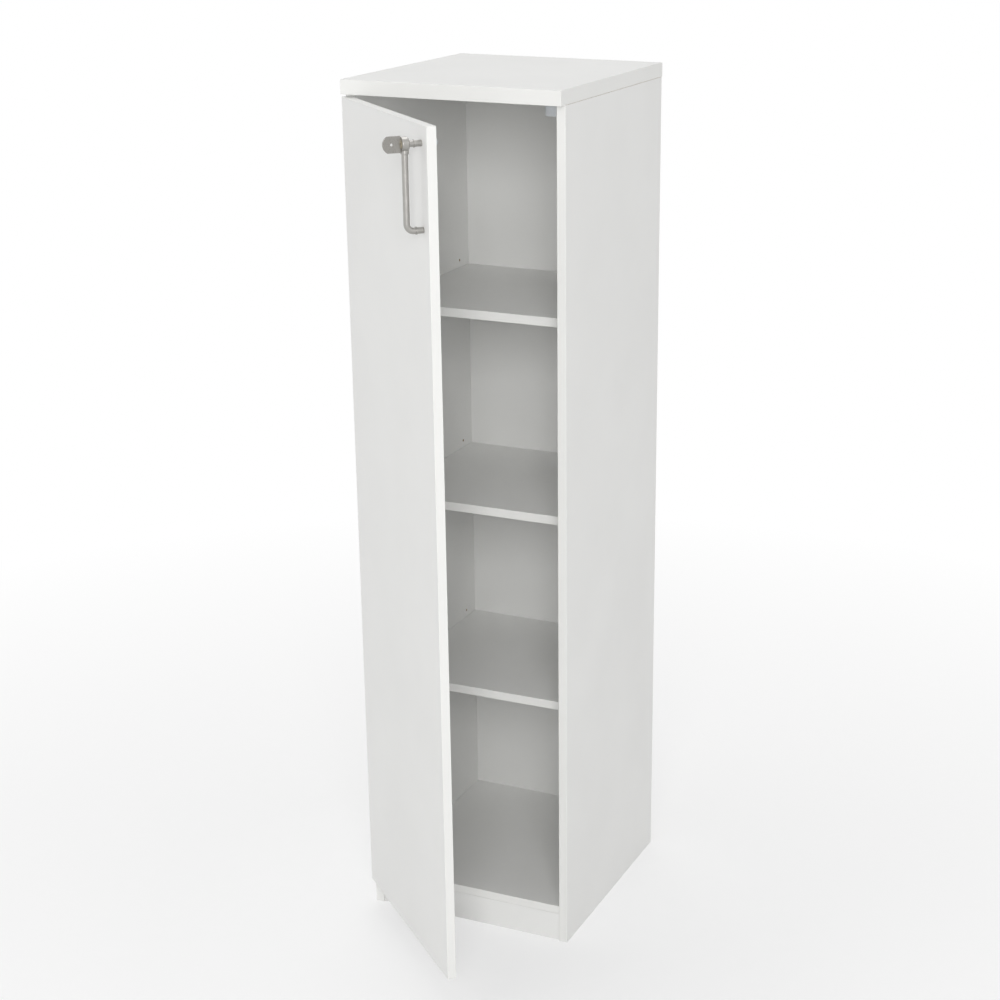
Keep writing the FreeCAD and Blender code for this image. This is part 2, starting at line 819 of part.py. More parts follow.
def belt(points):
    """The upright solid round a row of circles, each x, y and radius, that a belt would cover pair by pair."""
    pieces = []
    for x, y, radius in points:
        pieces.append(Part.makeCylinder(radius, 1, Vector(x, y, 0)))
    for (x1, y1, r1), (x2, y2, r2) in zip(points, points[1:]):
        along = Vector(x2 - x1, y2 - y1, 0)
        lean = math.acos((r1 - r2) / along.Length)
        heading = math.atan2(along.y, along.x)
        corners = []
        for x, y, radius, sign in ((x1, y1, r1, 1), (x2, y2, r2, 1), (x2, y2, r2, -1), (x1, y1, r1, -1)):
            angle = heading + sign * lean
            corners.append(Vector(x + radius * math.cos(angle), y + radius * math.sin(angle), 0))
        face = Part.Face(Part.makePolygon(corners + corners[:1]))
        pieces.append(face.extrude(UP))
    return pieces[0].fuse(pieces[1:]).removeSplitter()


def flat_plate(points, holes, low, high):
    """A belt of given thickness with round holes, each x, y and radius."""
    faces = belt(points)
    wire_face = [f for f in faces.Faces if abs(f.normalAt(0, 0).z + 1) < 1e-6][0]
    solid = wire_face.copy()
    solid.translate(Vector(0, 0, low))
    solid = solid.extrude(Vector(0, 0, high - low))
    for x, y, radius in holes:
        solid = solid.cut(Part.makeCylinder(radius, high - low, Vector(x, y, low)))
    return solid


def level_numbers():
    low = value("door_low") + value("hinge_end")
    high = value("door_high") - value("hinge_end")
    return [low, value("hinge_middle"), high]


def raised(shape, level):
    copy = shape.copy()
    copy.translate(Vector(0, 0, level))
    return copy


def feature(name, shapes, label, motion=STILL):
    """One sub-part of several like solids, a copy at each hinge's level."""
    thing = document.addObject("Part::Feature", name)
    solids = [raised(shape, level) for level in level_numbers() for shape in shapes]
    thing.Shape = Part.Compound(solids)
    keep(thing, label, motion)


def pin(x, y, radius, low, high):
    return Part.makeCylinder(radius, high - low, Vector(x, y, low))


def both(low, high, maker):
    """A plate above the hinge's middle plane and its twin below."""
    return [maker(low, high), maker(-high, -low)]


def make_links():
    hole = value("pivot_radius") + value("pivot_play")
    knee = cup_point("outer_knee_across", "outer_knee_deep")
    eye = value("outer_eye_radius")
    path = [(OUTER_CUP.x, OUTER_CUP.y, eye), (knee.x, knee.y, eye),
            (OUTER_ARM.x, OUTER_ARM.y, value("arm_eye_radius"))]
    holes = [(OUTER_CUP.x, OUTER_CUP.y, hole), (OUTER_ARM.x, OUTER_ARM.y, hole)]
    plates = both(value("outer_link_inside"), value("outer_link_outside"),
                  lambda low, high: flat_plate(path, holes, low, high))
    feature("OuterLinks", plates, "hinge_outer_links", outer_rest)
    half = value("arm_inside") - value("link_play")
    knee = cup_point("inner_knee_across", "inner_knee_deep")
    path = [(INNER_CUP.x, INNER_CUP.y, value("open_eye_radius")), (knee.x, knee.y, value("inner_knee_radius")),
            (INNER_ARM.x, INNER_ARM.y, value("arm_eye_radius"))]
    open_hole = value("cup_pin_radius") + value("open_pivot_play")
    holes = [(INNER_CUP.x, INNER_CUP.y, open_hole), (INNER_ARM.x, INNER_ARM.y, hole)]
    feature("InnerLinks", [flat_plate(path, holes, -half, half)], "hinge_inner_links", inner_rest)


def make_arms():
    """The arm: two walls that carry both pins at the nose, and a web that joins them behind it."""
    radius = value("pivot_radius")
    nose = value("arm_eye_radius")
    low = value("board") + value("arm_low")
    high = value("board") + value("arm_high")
    rear = value("side_front") + value("arm_rear")
    neck = value("side_front") + value("arm_neck")
    body_line = (low + high) / 2
    half = (high - low) / 2
    walls = []
    near, far = value("arm_inside"), value("arm_outside")
    for inside, outside in ((near, far), (-far, -near)):
        path = [(INNER_ARM.x, INNER_ARM.y, nose), (OUTER_ARM.x, OUTER_ARM.y, nose)]
        slope = [(OUTER_ARM.x, OUTER_ARM.y, nose), (body_line, neck + half, half)]
        tail = [(body_line, neck + half, half), (body_line, rear - half, half)]
        wall = flat_plate(path, [], inside, outside)
        wall = wall.fuse([flat_plate(slope, [], inside, outside), flat_plate(tail, [], inside, outside)])
        for pivot in (INNER_ARM, OUTER_ARM):
            wall = wall.cut(pin(pivot.x, pivot.y, radius, inside, outside))
        walls.append(wall)
    web_low = Vector(high - value("arm_wall"), neck + half, -value("arm_outside"))
    web = Part.makeBox(value("arm_wall"), rear - half - neck - half, 2 * value("arm_outside"), web_low)
    arm = walls[0].fuse([walls[1], web])
    screw_y = value("side_front") + value("arm_screw_back")
    hole = Part.makeCylinder(value("arm_screw_radius"), value("arm_wall"),
                             Vector(high - value("arm_wall"), screw_y, 0), Vector(1, 0, 0))
    feature("HingeArms", [arm.cut(hole).removeSplitter()], "hinge_arms")
    reach = value("outer_link_outside")
    pins = [pin(OUTER_ARM.x, OUTER_ARM.y, radius, -reach, reach),
            pin(INNER_ARM.x, INNER_ARM.y, radius, -value("arm_outside"), value("arm_outside"))]
    feature("ArmPins", pins, "hinge_arm_pins")
    shaft = Part.makeCylinder(value("arm_screw_radius"), value("arm_screw_long"), Vector(high, screw_y, 0),
                              Vector(-1, 0, 0))
    head = Part.makeCylinder(value("arm_screw_head"), value("arm_screw_head_thick"), Vector(high, screw_y, 0),
                             Vector(1, 0, 0))
    feature("ArmScrews", [shaft.fuse(head)], "hinge_arm_screws")


def make_plates():
    """The mounting plate on the side panel: a cross whose raised rib carries the arm."""
    wings = []
    for number, level in enumerate(hinge_levels()):
        low = ("board", "plate_middle - plate_half_wide", "%s - plate_half_tall" % level)
        high = ("board + plate_thick", "plate_middle + plate_half_wide", "%s + plate_half_tall" % level)
        wing = box("PlateWing%d" % number, low, high)
        low = ("board", "side_front + rib_front", "%s - rib_half" % level)
        high = ("board + rib_top", "side_front + rib_rear", "%s + rib_half" % level)
        rib = box("PlateRib%d" % number, low, high)
        holes = []
        for sign in "-+":
            spot = ("board", "plate_middle", "%s %s plate_screw_half" % (level, sign))
            holes.append(cylinder("PlateHole%d" % number, "plate_screw_radius", "plate_thick", spot, "x"))
        spot = ("board + arm_high - arm_wall", "side_front + arm_screw_back", level)
        holes.append(cylinder("RibHole%d" % number, "arm_screw_radius", "arm_screw_long", spot, "-x"))
        body = cut("Plate%d" % number, fuse("PlateBody%d" % number, [wing, rib]),
                   fuse("PlateHoles%d" % number, holes))
        wings.append(body)
    keep(group("Plates", wings), "hinge_mounting_plates")
    screws = []
    steps = [("plate_screw_radius", "-plate_screw_long", "plate_screw_long + plate_thick"),
             ("plate_screw_head", "plate_thick", "plate_screw_head_thick")]
    for level in hinge_levels():
        for sign in "-+":
            spot = ("board", "plate_middle", "%s %s plate_screw_half" % (level, sign))
            screws.append(stepped("PlateScrew%d" % len(screws), steps, spot, "x"))
    keep(group("PlateScrews", screws), "hinge_plate_screws")


def make_cups():
    """The cup: a pot sunk in the door, a flange with two wings on the door's face, and lugs for the pins."""
    cups = []
    for number, level in enumerate(hinge_levels()):
        tag = str(number)
        spot = ("cup_middle", "door_thick", level)
        pot = cylinder("Pot" + tag, "cup_radius - cup_play", "cup_deep - cup_play", spot, "-y")
        flange = cylinder("Flange" + tag, "flange_radius", "flange_thick", spot, "y")
        wing = box("Wing" + tag, ("cup_middle + wing_near", "door_thick", "%s - wing_half" % level),
                   ("cup_middle + wing_far", "door_thick + flange_thick", "%s + wing_half" % level))
        hollow = cylinder("Hollow" + tag, "cup_radius - cup_play - cup_wall",
                          "cup_deep - cup_play - cup_floor + flange_thick", spot, "-y", "-flange_thick")
        holes = [hollow]
        for sign in "-+":
            hole_spot = ("cup_middle + cup_screw_shift", "door_thick", "%s %s cup_screw_half" % (level, sign))
            holes.append(cylinder("WingHole" + tag, "cup_screw_radius", "flange_thick", hole_spot, "y"))
        shell = cut("Shell" + tag, fuse("Solid" + tag, [pot, flange, wing]), fuse("Holes" + tag, holes))
        wall = "cup_middle - cup_radius + cup_wall / 2"
        floor = "door_thick - cup_deep + cup_play"
        lugs = []
        for near, far in (("lug_inside", "lug_outside"), ("-lug_outside", "-lug_inside")):
            lugs.append(box("Lug" + tag, (wall, floor, "%s + %s" % (level, near)),
                            ("door_side_gap + lug_reach", "door_thick - lug_low", "%s + %s" % (level, far))))
        pins = []
        for pivot, radius in ((("outer_cup_across", "outer_cup_deep"), "pivot_radius"),
                              (("inner_cup_across", "inner_cup_deep"), "cup_pin_radius")):
            pin_spot = ("door_side_gap + " + pivot[0], "door_thick - " + pivot[1], level)
            pins.append(cylinder("LugHole" + tag, radius, "2 * outer_link_outside", pin_spot, "z",
                                 "-outer_link_outside"))
        lug_pair = cut("Lugs" + tag, fuse("LugBlocks" + tag, lugs), fuse("LugHoles" + tag, pins))
        cups.append(fuse("Cup" + tag, [shell, lug_pair]))
    keep(group("Cups", cups), "hinge_cups", door_rest)
    screws = []
    steps = [("cup_screw_radius", "-cup_screw_head_thick", "cup_screw_long + cup_screw_head_thick"),
             ("cup_screw_head", "-cup_screw_head_thick", "cup_screw_head_thick")]
    for across, level in cup_screws():
        spot = (across, "door_thick + flange_thick", level)
        screws.append(stepped("CupScrew%d" % len(screws), steps, spot, "-y"))
    keep(group("CupScrews", screws), "hinge_cup_screws", door_rest)
    outer = both(value("lug_inside"), value("outer_link_outside"),
                 lambda low, high: pin(OUTER_CUP.x, OUTER_CUP.y, value("pivot_radius"), low, high))
    reach = value("lug_outside")
    inner = pin(INNER_CUP.x, INNER_CUP.y, value("cup_pin_radius"), -reach, reach)
    feature("CupPins", outer + [inner], "hinge_cup_pins", door_rest)


# Handle: drawn in the closed door's frame, where its pieces stand out along -Y

def make_handle():
    bar_y = "-bar_out"
    upright = cylinder("BarUpright", "bar_radius", "handle_span - bend_radius - socket_top",
                       ("lock_across", bar_y, "foot_level + bend_radius"), "z")
    bend = document.addObject("Part::Torus", "BarBend")
    bind(bend, "Radius1", "bend_radius")
    bind(bend, "Radius2", "bar_radius")
    bend.Angle3 = 90
    put(bend, ("lock_across", "-bar_out + bend_radius", "foot_level + bend_radius"),
        Rotation(Vector(0, -1, 0), Vector(0, 0, -1), Vector(1, 0, 0), "XYZ"))
    tail = cylinder("BarTail", "bar_radius", "bar_out - bend_radius - foot_out",
                    ("lock_across", "-bar_out + bend_radius", "foot_level"), "y")
    rod = fuse("BarSolid", [upright, bend, tail])
    tap = cylinder("BarTap", "handle_screw_radius", "handle_screw_in", ("lock_across", "-foot_out", "foot_level"),
                   "-y")
    keep(cut("HandleBow", rod, tap), "handle_bow", door_rest)
    stands = []
    rings = []
    for name, level, inner in (("Upper", "lock_level", "neck_radius + neck_play"),
                               ("Lower", "foot_level", "handle_screw_radius")):
        spot = ("lock_across", "0", level)
        for kind, radius, start, length, pieces in (
                ("Stand", "stand_radius", "0", "stand_long", stands),
                ("Ring", "ring_radius", "stand_long", "ring_thick", rings)):
            solid = cylinder(name + kind + "Solid", radius, length, spot, "-y", start)
            hole = cylinder(name + kind + "Hole", inner, length, spot, "-y", start)
            pieces.append(cut(name + kind, solid, hole))
    keep(group("HandleStands", stands), "handle_stand_offs", door_rest)
    keep(group("HandleRings", rings), "handle_rings", door_rest)
    steps = [("handle_screw_radius", "-door_thick", "door_thick + foot_out + handle_screw_in"),
             ("handle_screw_head", "-door_thick - handle_screw_head_thick", "handle_screw_head_thick")]
    screw = stepped("HandleScrew", steps, ("lock_across", "0", "foot_level"), "-y")
    keep(screw, "handle_screw", door_rest)


# Lock: drawn about its own axis, where Z points out of the door's face and Y points up

def make_lock_head():
    """A round head on a hollow neck that runs through the door, with a boss below that takes the bar's end."""
    rear = "head_out - head_thick"
    behind = "-door_thick - neck_behind"
    profile = [("spindle_radius + core_play", behind), ("neck_radius", behind), ("neck_radius", "foot_out"),
               ("neck_out_radius", "foot_out"), ("neck_out_radius", rear), ("head_radius", rear),
               ("head_radius", "head_out"), ("core_face_radius + core_play", "head_out"),
               ("core_face_radius + core_play", "head_out - core_face_thick"),
               ("spindle_radius + core_play", "head_out - core_face_thick")]
    head = revolve("LockHead", profile)
    rear_level = value("head_out") - value("head_thick")
    front_level = value("head_out")
    for level, radius in ((rear_level, "head_round"), (front_level, "head_edge")):
        rim = edges_where(head.Shape, lambda edge: is_circle(edge, value("head_radius"), level))
        round_edges(head, rim, radius)
    boss = new_sketch(head, "XZ_Plane", "socket_top")
    circles(boss, [("0", "bar_out")], "boss_radius")
    pad(head, boss, "boss_drop - socket_top")
    socket = new_sketch(head, "XZ_Plane", "boss_drop")
    circles(socket, [("0", "bar_out")], "bar_radius + socket_play")
    pocket(head, socket, "boss_drop - socket_top")
    keep(head, "lock_head", door_rest, at_lock)


def is_circle(edge, radius, level):
    box_ = edge.BoundBox
    flat = box_.ZLength < 1e-6 and abs(box_.ZMin - level) < 1e-6
    return flat and hasattr(edge.Curve, "Radius") and abs(edge.Curve.Radius - radius) < 1e-6


def make_lock_core():
    """The turning core: a face disc with the keyway, and a spindle that carries the cam behind the door."""
    end = "-lever_front - lever_thick"
    core = revolve("LockCore", [("0", end), ("spindle_radius", end),
                                ("spindle_radius", "head_out - core_face_thick + core_play"),
                                ("core_face_radius", "head_out - core_face_thick + core_play"),
                                ("core_face_radius", "head_out"), ("0", "head_out")])
    keyway = new_sketch(core, "XY_Plane", "head_out")
    rectangle(keyway, ("-keyway_thick / 2", "-keyway_tall / 2"), ("keyway_thick / 2", "keyway_tall / 2"))
    pocket(core, keyway, "keyway_deep")
    bore(core, "XY_Plane", end, [("0", "0")], "lever_screw_radius", "lever_screw_long", back=True)
    keep(core, "lock_core", door_rest, at_lock)


def make_lever():
    """The lock cam: a flat lever on the spindle's end. It points to the hinges when the lock is open."""
    spot = ("0", "0", "-lever_front - lever_thick")
    hub = cylinder("LeverHub", "lever_hub", "lever_thick", spot)
    arm = box("LeverArm", ("-(lever_long - lever_half)", "-lever_half", spot[2]), ("0", "lever_half", "-lever_front"))
    tip = cylinder("LeverTip", "lever_half", "lever_thick", ("-(lever_long - lever_half)", "0", spot[2]))
    hole = cylinder("LeverHole", "spindle_radius", "lever_thick", spot)
    lever = cut("Lever", fuse("LeverSolid", [hub, arm, tip]), hole)
    keep(lever, "lock_cam", door_rest, at_lock)
    steps = [("lever_screw_radius", "0", "lever_screw_long"),
             ("lever_screw_head", "-lever_screw_head_thick", "lever_screw_head_thick")]
    keep(stepped("LeverScrew", steps, spot, "z"), "lock_cam_screw", door_rest, at_lock)


def make_nut():
    nut = new_body("LockNut")
    sketch = new_sketch(nut, "XY_Plane", "-door_thick - nut_thick")
    corners = []
    for across, up in ((1, 0), (0.5, 1), (-0.5, 1), (-1, 0), (-0.5, -1), (0.5, -1)):
        corners.append(("%s * nut_across / sqrt(3)" % across, "%s * nut_across / 2" % up))
    outline(sketch, corners)
    circles(sketch, [("0", "0")], "neck_radius")
    pad(nut, sketch, "nut_thick")
    keep(nut, "lock_nut", door_rest, at_lock)


def across_at(edge, level):
    """Whether an edge runs along X at a given level."""
    return abs(edge.CenterOfMass.z - level) < 0.01 and edge.BoundBox.XLength > 1


def make_key():
    """A flat blade in the core, and a bow with a rounded end and a ring hole on it, standing upright."""
    blade = box("KeyBlade", ("-blade_thick / 2", "-blade_tall / 2", "head_out - blade_in"),
                ("blade_thick / 2", "blade_tall / 2", "head_out + bow_gap + blade_in_bow"))
    keep(group("KeyBlades", [blade]), "key_blade", door_rest, at_lock)
    bow = new_body("KeyBow")
    sketch = new_sketch(bow, "YZ_Plane", "-bow_thick / 2")
    start = "head_out + bow_gap"
    low = value("head_out") + value("bow_gap")
    shoulder = low + value("bow_straight")
    end = low + value("bow_long")
    half = value("bow_half")
    corners = [Vector(half, shoulder, 0), Vector(half, low, 0), Vector(-half, low, 0), Vector(-half, shoulder, 0)]
    for here, there in zip(corners, corners[1:]):
        sketch.addGeometry(Part.LineSegment(here, there), False)
    radius = (half ** 2 + (end - shoulder) ** 2) / (2 * (end - shoulder))
    lean = math.asin((shoulder - end + radius) / radius)
    round_end = Part.ArcOfCircle(Part.Circle(Vector(0, end - radius, 0), UP, radius), lean, math.pi - lean)
    sketch.addGeometry(round_end, False)
    sketch.addConstraint(Sketcher.Constraint("Coincident", 0, 2, 1, 1))
    sketch.addConstraint(Sketcher.Constraint("Coincident", 1, 2, 2, 1))
    sketch.addConstraint(Sketcher.Constraint("Coincident", 2, 2, 3, 2))
    sketch.addConstraint(Sketcher.Constraint("Coincident", 0, 1, 3, 1))
    spots = [(0, 1, "bow_half", start + " + bow_straight"), (0, 2, "bow_half", start),
             (2, 1, "-bow_half", start), (2, 2, "-bow_half", start + " + bow_straight")]
    for (line, vertex, across, along), corner in zip(spots, corners):
        hold(sketch, "DistanceX", -1, 1, line, vertex, text=across, near=corner.x)
        hold(sketch, "DistanceY", -1, 1, line, vertex, text=along, near=corner.y)
    swell = "(bow_long - bow_straight)"
    hold(sketch, "Radius", 3, text="(bow_half ^ 2 + %s ^ 2) / (2 * %s)" % (swell, swell),
         near=radius)
    circles(sketch, [("0", start + " + bow_long - bow_hole_back")], "bow_hole_radius")
    pad(bow, sketch, "bow_thick")
    corners = edges_where(bow.Shape, lambda edge: across_at(edge, shoulder))
    round_edges(bow, corners, "bow_round")
    slot = new_sketch(bow, "XY_Plane", start)
    rectangle(slot, ("-blade_thick / 2", "-blade_tall / 2"), ("blade_thick / 2", "blade_tall / 2"))
    pocket(bow, slot, "blade_in_bow", back=True)
    keep(bow, "key_bow", door_rest, at_lock)


def make_strike():
    """The strike plate: an angle screwed under the top, whose flange the raised cam catches behind."""
    body = new_body("StrikePlate")
    sketch = new_sketch(body, "YZ_Plane", "lock_across - strike_half")
    low = "top_under - strike_thick"
    outline(sketch, [("strike_front", "top_under"), ("strike_front", "top_under - strike_drop"),
                     ("strike_front + strike_thick", "top_under - strike_drop"), ("strike_front + strike_thick", low),
                     ("strike_front + strike_deep", low), ("strike_front + strike_deep", "top_under")])
    pad(body, sketch, "strike_half + inner_right - strike_side_gap - lock_across")
    bore(body, "XY_Plane", "top_under", strike_spots(), "strike_screw_radius", "strike_thick")
    keep(body, "lock_strike_plate")
    steps = [("strike_screw_radius", "-strike_screw_long", "strike_screw_long + strike_thick"),
             ("strike_screw_head", "strike_thick", "strike_screw_head_thick")]
    screws = []
    for across, along in strike_spots():
        screws.append(stepped("StrikeScrew%d" % len(screws), steps, (across, along, "top_under"), "-z"))
    keep(group("StrikeScrews", screws), "strike_plate_screws")


def check_and_write():
    """Stop on any failed object or bad shape, then write each sub-part to its own file."""
    document.recompute()
    for thing in document.Objects:
        if "Invalid" in thing.State or "Error" in thing.State:
            raise RuntimeError(thing.Name + " failed: " + str(thing.State))
    for label, thing in subparts.items():
        if thing.Shape.isNull() or not thing.Shape.isValid():
            raise RuntimeError(label + " has a bad shape")
    os.makedirs("parts", exist_ok=True)
    for label, thing in subparts.items():
        thing.Shape.exportStep("parts/%s.step" % label)
        print("%-26s %2d solids %12.1f mm3" % (label, len(thing.Shape.Solids), thing.Shape.Volume))


make_top()
for side in SIDES:
    make_side(side)
make_bottom()
make_plinth()
make_back()
make_shelves()
make_fittings()
make_dowels()
make_door()
make_plates()
make_arms()
make_links()
make_cups()
make_handle()
make_lock_head()
make_lock_core()
make_lever()
make_nut()
make_key()
make_strike()
check_and_write()
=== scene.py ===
# %% [markdown]
# # A tall office cabinet, dressed for its picture
# The cabinet's solids come from a CAD model. This script loads them, sets up the camera, the room and the
# lamps, gives every surface its finish, and models the small hardware again with the soft edges that
# pressed steel has.

import json
import math

import bpy
from mathutils import Matrix, Vector

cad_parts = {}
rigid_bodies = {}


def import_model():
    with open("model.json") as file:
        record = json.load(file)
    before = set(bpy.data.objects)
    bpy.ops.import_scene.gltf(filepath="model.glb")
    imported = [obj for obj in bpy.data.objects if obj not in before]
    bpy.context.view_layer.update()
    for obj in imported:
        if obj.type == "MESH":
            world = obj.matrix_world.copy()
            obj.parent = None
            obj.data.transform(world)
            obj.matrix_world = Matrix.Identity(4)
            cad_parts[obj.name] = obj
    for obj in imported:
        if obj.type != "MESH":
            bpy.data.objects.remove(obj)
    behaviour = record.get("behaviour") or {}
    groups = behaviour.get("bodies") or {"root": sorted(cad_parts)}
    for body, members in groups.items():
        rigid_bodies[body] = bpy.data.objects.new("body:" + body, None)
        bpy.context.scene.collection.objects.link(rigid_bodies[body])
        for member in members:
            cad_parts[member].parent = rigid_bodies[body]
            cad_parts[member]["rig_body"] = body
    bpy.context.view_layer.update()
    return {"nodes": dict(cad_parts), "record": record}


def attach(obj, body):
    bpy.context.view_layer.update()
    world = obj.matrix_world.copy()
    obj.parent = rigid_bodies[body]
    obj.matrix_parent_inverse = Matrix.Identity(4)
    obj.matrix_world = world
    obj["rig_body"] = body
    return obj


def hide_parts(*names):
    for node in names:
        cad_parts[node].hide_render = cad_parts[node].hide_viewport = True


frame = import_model()

# %% [markdown]
# ## The camera
# The drawing was made with a mild perspective from the front right, from above. The camera's place was
# solved from the corners of the top and the side. The drawing is cut out of a wider view, so a small lens
# shift centres it.

# %% Camera
LOOK_DOWN, LOOK_LEFT = 0.3468, 0.4043
lens = bpy.data.cameras.new("drawing_camera")
lens.sensor_width = 36
lens.lens = 71.88
lens.shift_x = -0.0760
lens.shift_y = 0.0539
lens.clip_end = 200
camera = bpy.data.objects.new("drawing_camera", lens)
camera.location = (1.4886, -2.9816, 1.9365)
camera.rotation_euler = (math.radians(90) - LOOK_DOWN, 0, LOOK_LEFT)
bpy.context.scene.collection.objects.link(camera)
bpy.context.scene.camera = camera
bpy.context.scene.view_settings.view_transform = "Standard"
print("Lens:", lens.lens, "mm")

# %% [markdown]
# ## Nodes in a few words
# A finish is a small tree of shader nodes. These helpers add one node, join it to what feeds it, and hand
# back the socket that the next one needs, so that each finish below reads like a recipe.


# %% Nodes, places and noise
def new_finish(name):
    """A material with its main shader, ready for nodes."""
    finish = bpy.data.materials.new(name)
    finish.use_nodes = True
    return finish, finish.node_tree, finish.node_tree.nodes["Principled BSDF"]


def feed(tree, source, target):
    tree.links.new(source, target)


def where(tree):
    """Places on the piece, in metres."""
    return tree.nodes.new("ShaderNodeTexCoord").outputs["Object"]


def stretched(tree, scale):
    """Places pulled out along one or more axes, for streaks."""
    mapping = tree.nodes.new("ShaderNodeMapping")
    mapping.inputs["Scale"].default_value = scale
    feed(tree, where(tree), mapping.inputs["Vector"])
    return mapping.outputs["Vector"]


def speckle(tree, places, scale, detail, roughness=0.5):
    """Noise from 0 to 1. Scale is in spots per metre, and detail counts the finer layers on top."""
    noise = tree.nodes.new("ShaderNodeTexNoise")
    noise.inputs["Scale"].default_value = scale
    noise.inputs["Detail"].default_value = detail
    noise.inputs["Roughness"].default_value = roughness
    feed(tree, places, noise.inputs["Vector"])
    return noise.outputs["Fac"]


# %% Ranges, colours and arithmetic
FULL_RANGE = (0, 1)
MOST_NOISE = (0.3, 0.7)      # nearly all values of a noise lie here
MIDDLE_NOISE = (0.35, 0.65)  # what lies outside is cut off, for more contrast


def spread(tree, value, old, new):
    """A value moved from one range to another, each range a pair."""
    ranger = tree.nodes.new("ShaderNodeMapRange")
    ranger.inputs["From Min"].default_value, ranger.inputs["From Max"].default_value = old
    ranger.inputs["To Min"].default_value, ranger.inputs["To Max"].default_value = new
    feed(tree, value, ranger.inputs["Value"])
    return ranger.outputs["Result"]


def blend_colours(tree, factor, first, second):
    """A mix of two colours, each a triple or a socket."""
    mix = tree.nodes.new("ShaderNodeMix")
    mix.data_type = "RGBA"
    feed(tree, factor, mix.inputs["Factor"])
    for slot, colour in ((mix.inputs[6], first), (mix.inputs[7], second)):
        if isinstance(colour, tuple):
            slot.default_value = (*colour, 1)
        else:
            feed(tree, colour, slot)
    return mix.outputs[2]


def combine(tree, kind, first, second):
    """Arithmetic on two values, each a number or a socket."""
    maths = tree.nodes.new("ShaderNodeMath")
    maths.operation = kind
    for slot, value in zip(maths.inputs, (first, second)):
        if isinstance(value, (int, float)):
            slot.default_value = value
        else:
            feed(tree, value, slot)
    return maths.outputs["Value"]


def shade(colour, share):
    return tuple(part * share for part in colour)


# %% Edges and relief
EDGE_SHARPNESS = 6.0


def soft_normal(tree, radius):
    """The surface's direction with its edges rounded by a small radius."""
    rounded = tree.nodes.new("ShaderNodeBevel")
    rounded.samples = 6
    rounded.inputs["Radius"].default_value = radius
    return rounded.outputs["Normal"]


def edge_mask(tree, radius):
    """1 on edges and corners, where the rounded direction differs from the true one, and 0 on flat ground."""
    true = tree.nodes.new("ShaderNodeNewGeometry").outputs["True Normal"]
    dot = tree.nodes.new("ShaderNodeVectorMath")
    dot.operation = "DOT_PRODUCT"
    feed(tree, true, dot.inputs[0])
    feed(tree, soft_normal(tree, radius), dot.inputs[1])
    away = combine(tree, "SUBTRACT", 1.0, dot.outputs["Value"])
    mask = combine(tree, "MULTIPLY", away, EDGE_SHARPNESS)
    return combine(tree, "MINIMUM", mask, 1.0)


def bump(tree, shader, height, depth, strength, edge_radius=None):
    """Small relief on the surface. Depth is in metres."""
    relief = tree.nodes.new("ShaderNodeBump")
    relief.inputs["Strength"].default_value = strength
    relief.inputs["Distance"].default_value = depth
    feed(tree, height, relief.inputs["Height"])
    if edge_radius:
        feed(tree, soft_normal(tree, edge_radius), relief.inputs["Normal"])
    feed(tree, relief.outputs["Normal"], shader.inputs["Normal"])


# %% [markdown]
# ## White boards
# The boards are chipboard faced with white melamine, which has a fine pearl grain that breaks up the
# gloss. Edges pick up a little grey from handling. Faces that have no edge band, such as the rear edges
# of the sides, show chips.

# %% Board finishes
WHITE = (0.84, 0.84, 0.825)
CHIPS_DARK = (0.33, 0.23, 0.13)
CHIPS_PALE = (0.72, 0.58, 0.40)
CLOUD_SHADE, SCUFF_SHADE, SHINE_VARIES = 0.975, 0.72, 0.07
SCUFF_WIDTH, SCUFF_NOISE, SCUFF_COVER = 0.0009, (0.45, 0.7), (0, 0.55)
BOARD_EDGE, BOARD_GLOSS = 0.0005, 0.42
CHIPS_ROUGH, CHIPS_PER_METRE, CHIPS_PULL = 0.85, 420, (1.0, 0.45, 0.45)


def white_surface(name, colour, grain, depth, shine, raw=False):
    """A white board, band or lacquer: faint clouding, fine grain, scuffed edges.

    Grain is in spots per metre, its depth in metres, and shine is the roughness on average."""
    finish, tree, shader = new_finish(name)
    clouds = speckle(tree, where(tree), scale=5, detail=3)
    cloudy = spread(tree, clouds, MIDDLE_NOISE, FULL_RANGE)
    tint = blend_colours(tree, cloudy, shade(colour, CLOUD_SHADE), colour)
    scuffs = speckle(tree, where(tree), scale=260, detail=4, roughness=0.7)
    patchy = spread(tree, scuffs, SCUFF_NOISE, SCUFF_COVER)
    worn = combine(tree, "MULTIPLY", edge_mask(tree, SCUFF_WIDTH), patchy)
    tint = blend_colours(tree, worn, tint, shade(colour, SCUFF_SHADE))
    fine = speckle(tree, where(tree), scale=grain, detail=2)
    rough = spread(tree, fine, MOST_NOISE, (shine - SHINE_VARIES, shine + SHINE_VARIES))
    if raw:
        chips, cover = raw_edges(tree)
        tint = blend_colours(tree, cover, tint, chips)
        rough = combine(tree, "MAXIMUM", rough, combine(tree, "MULTIPLY", cover, CHIPS_ROUGH))
    feed(tree, tint, shader.inputs["Base Color"])
    feed(tree, rough, shader.inputs["Roughness"])
    shader.inputs["Specular IOR Level"].default_value = BOARD_GLOSS
    bump(tree, shader, fine, depth, strength=0.8, edge_radius=BOARD_EDGE)
    return finish


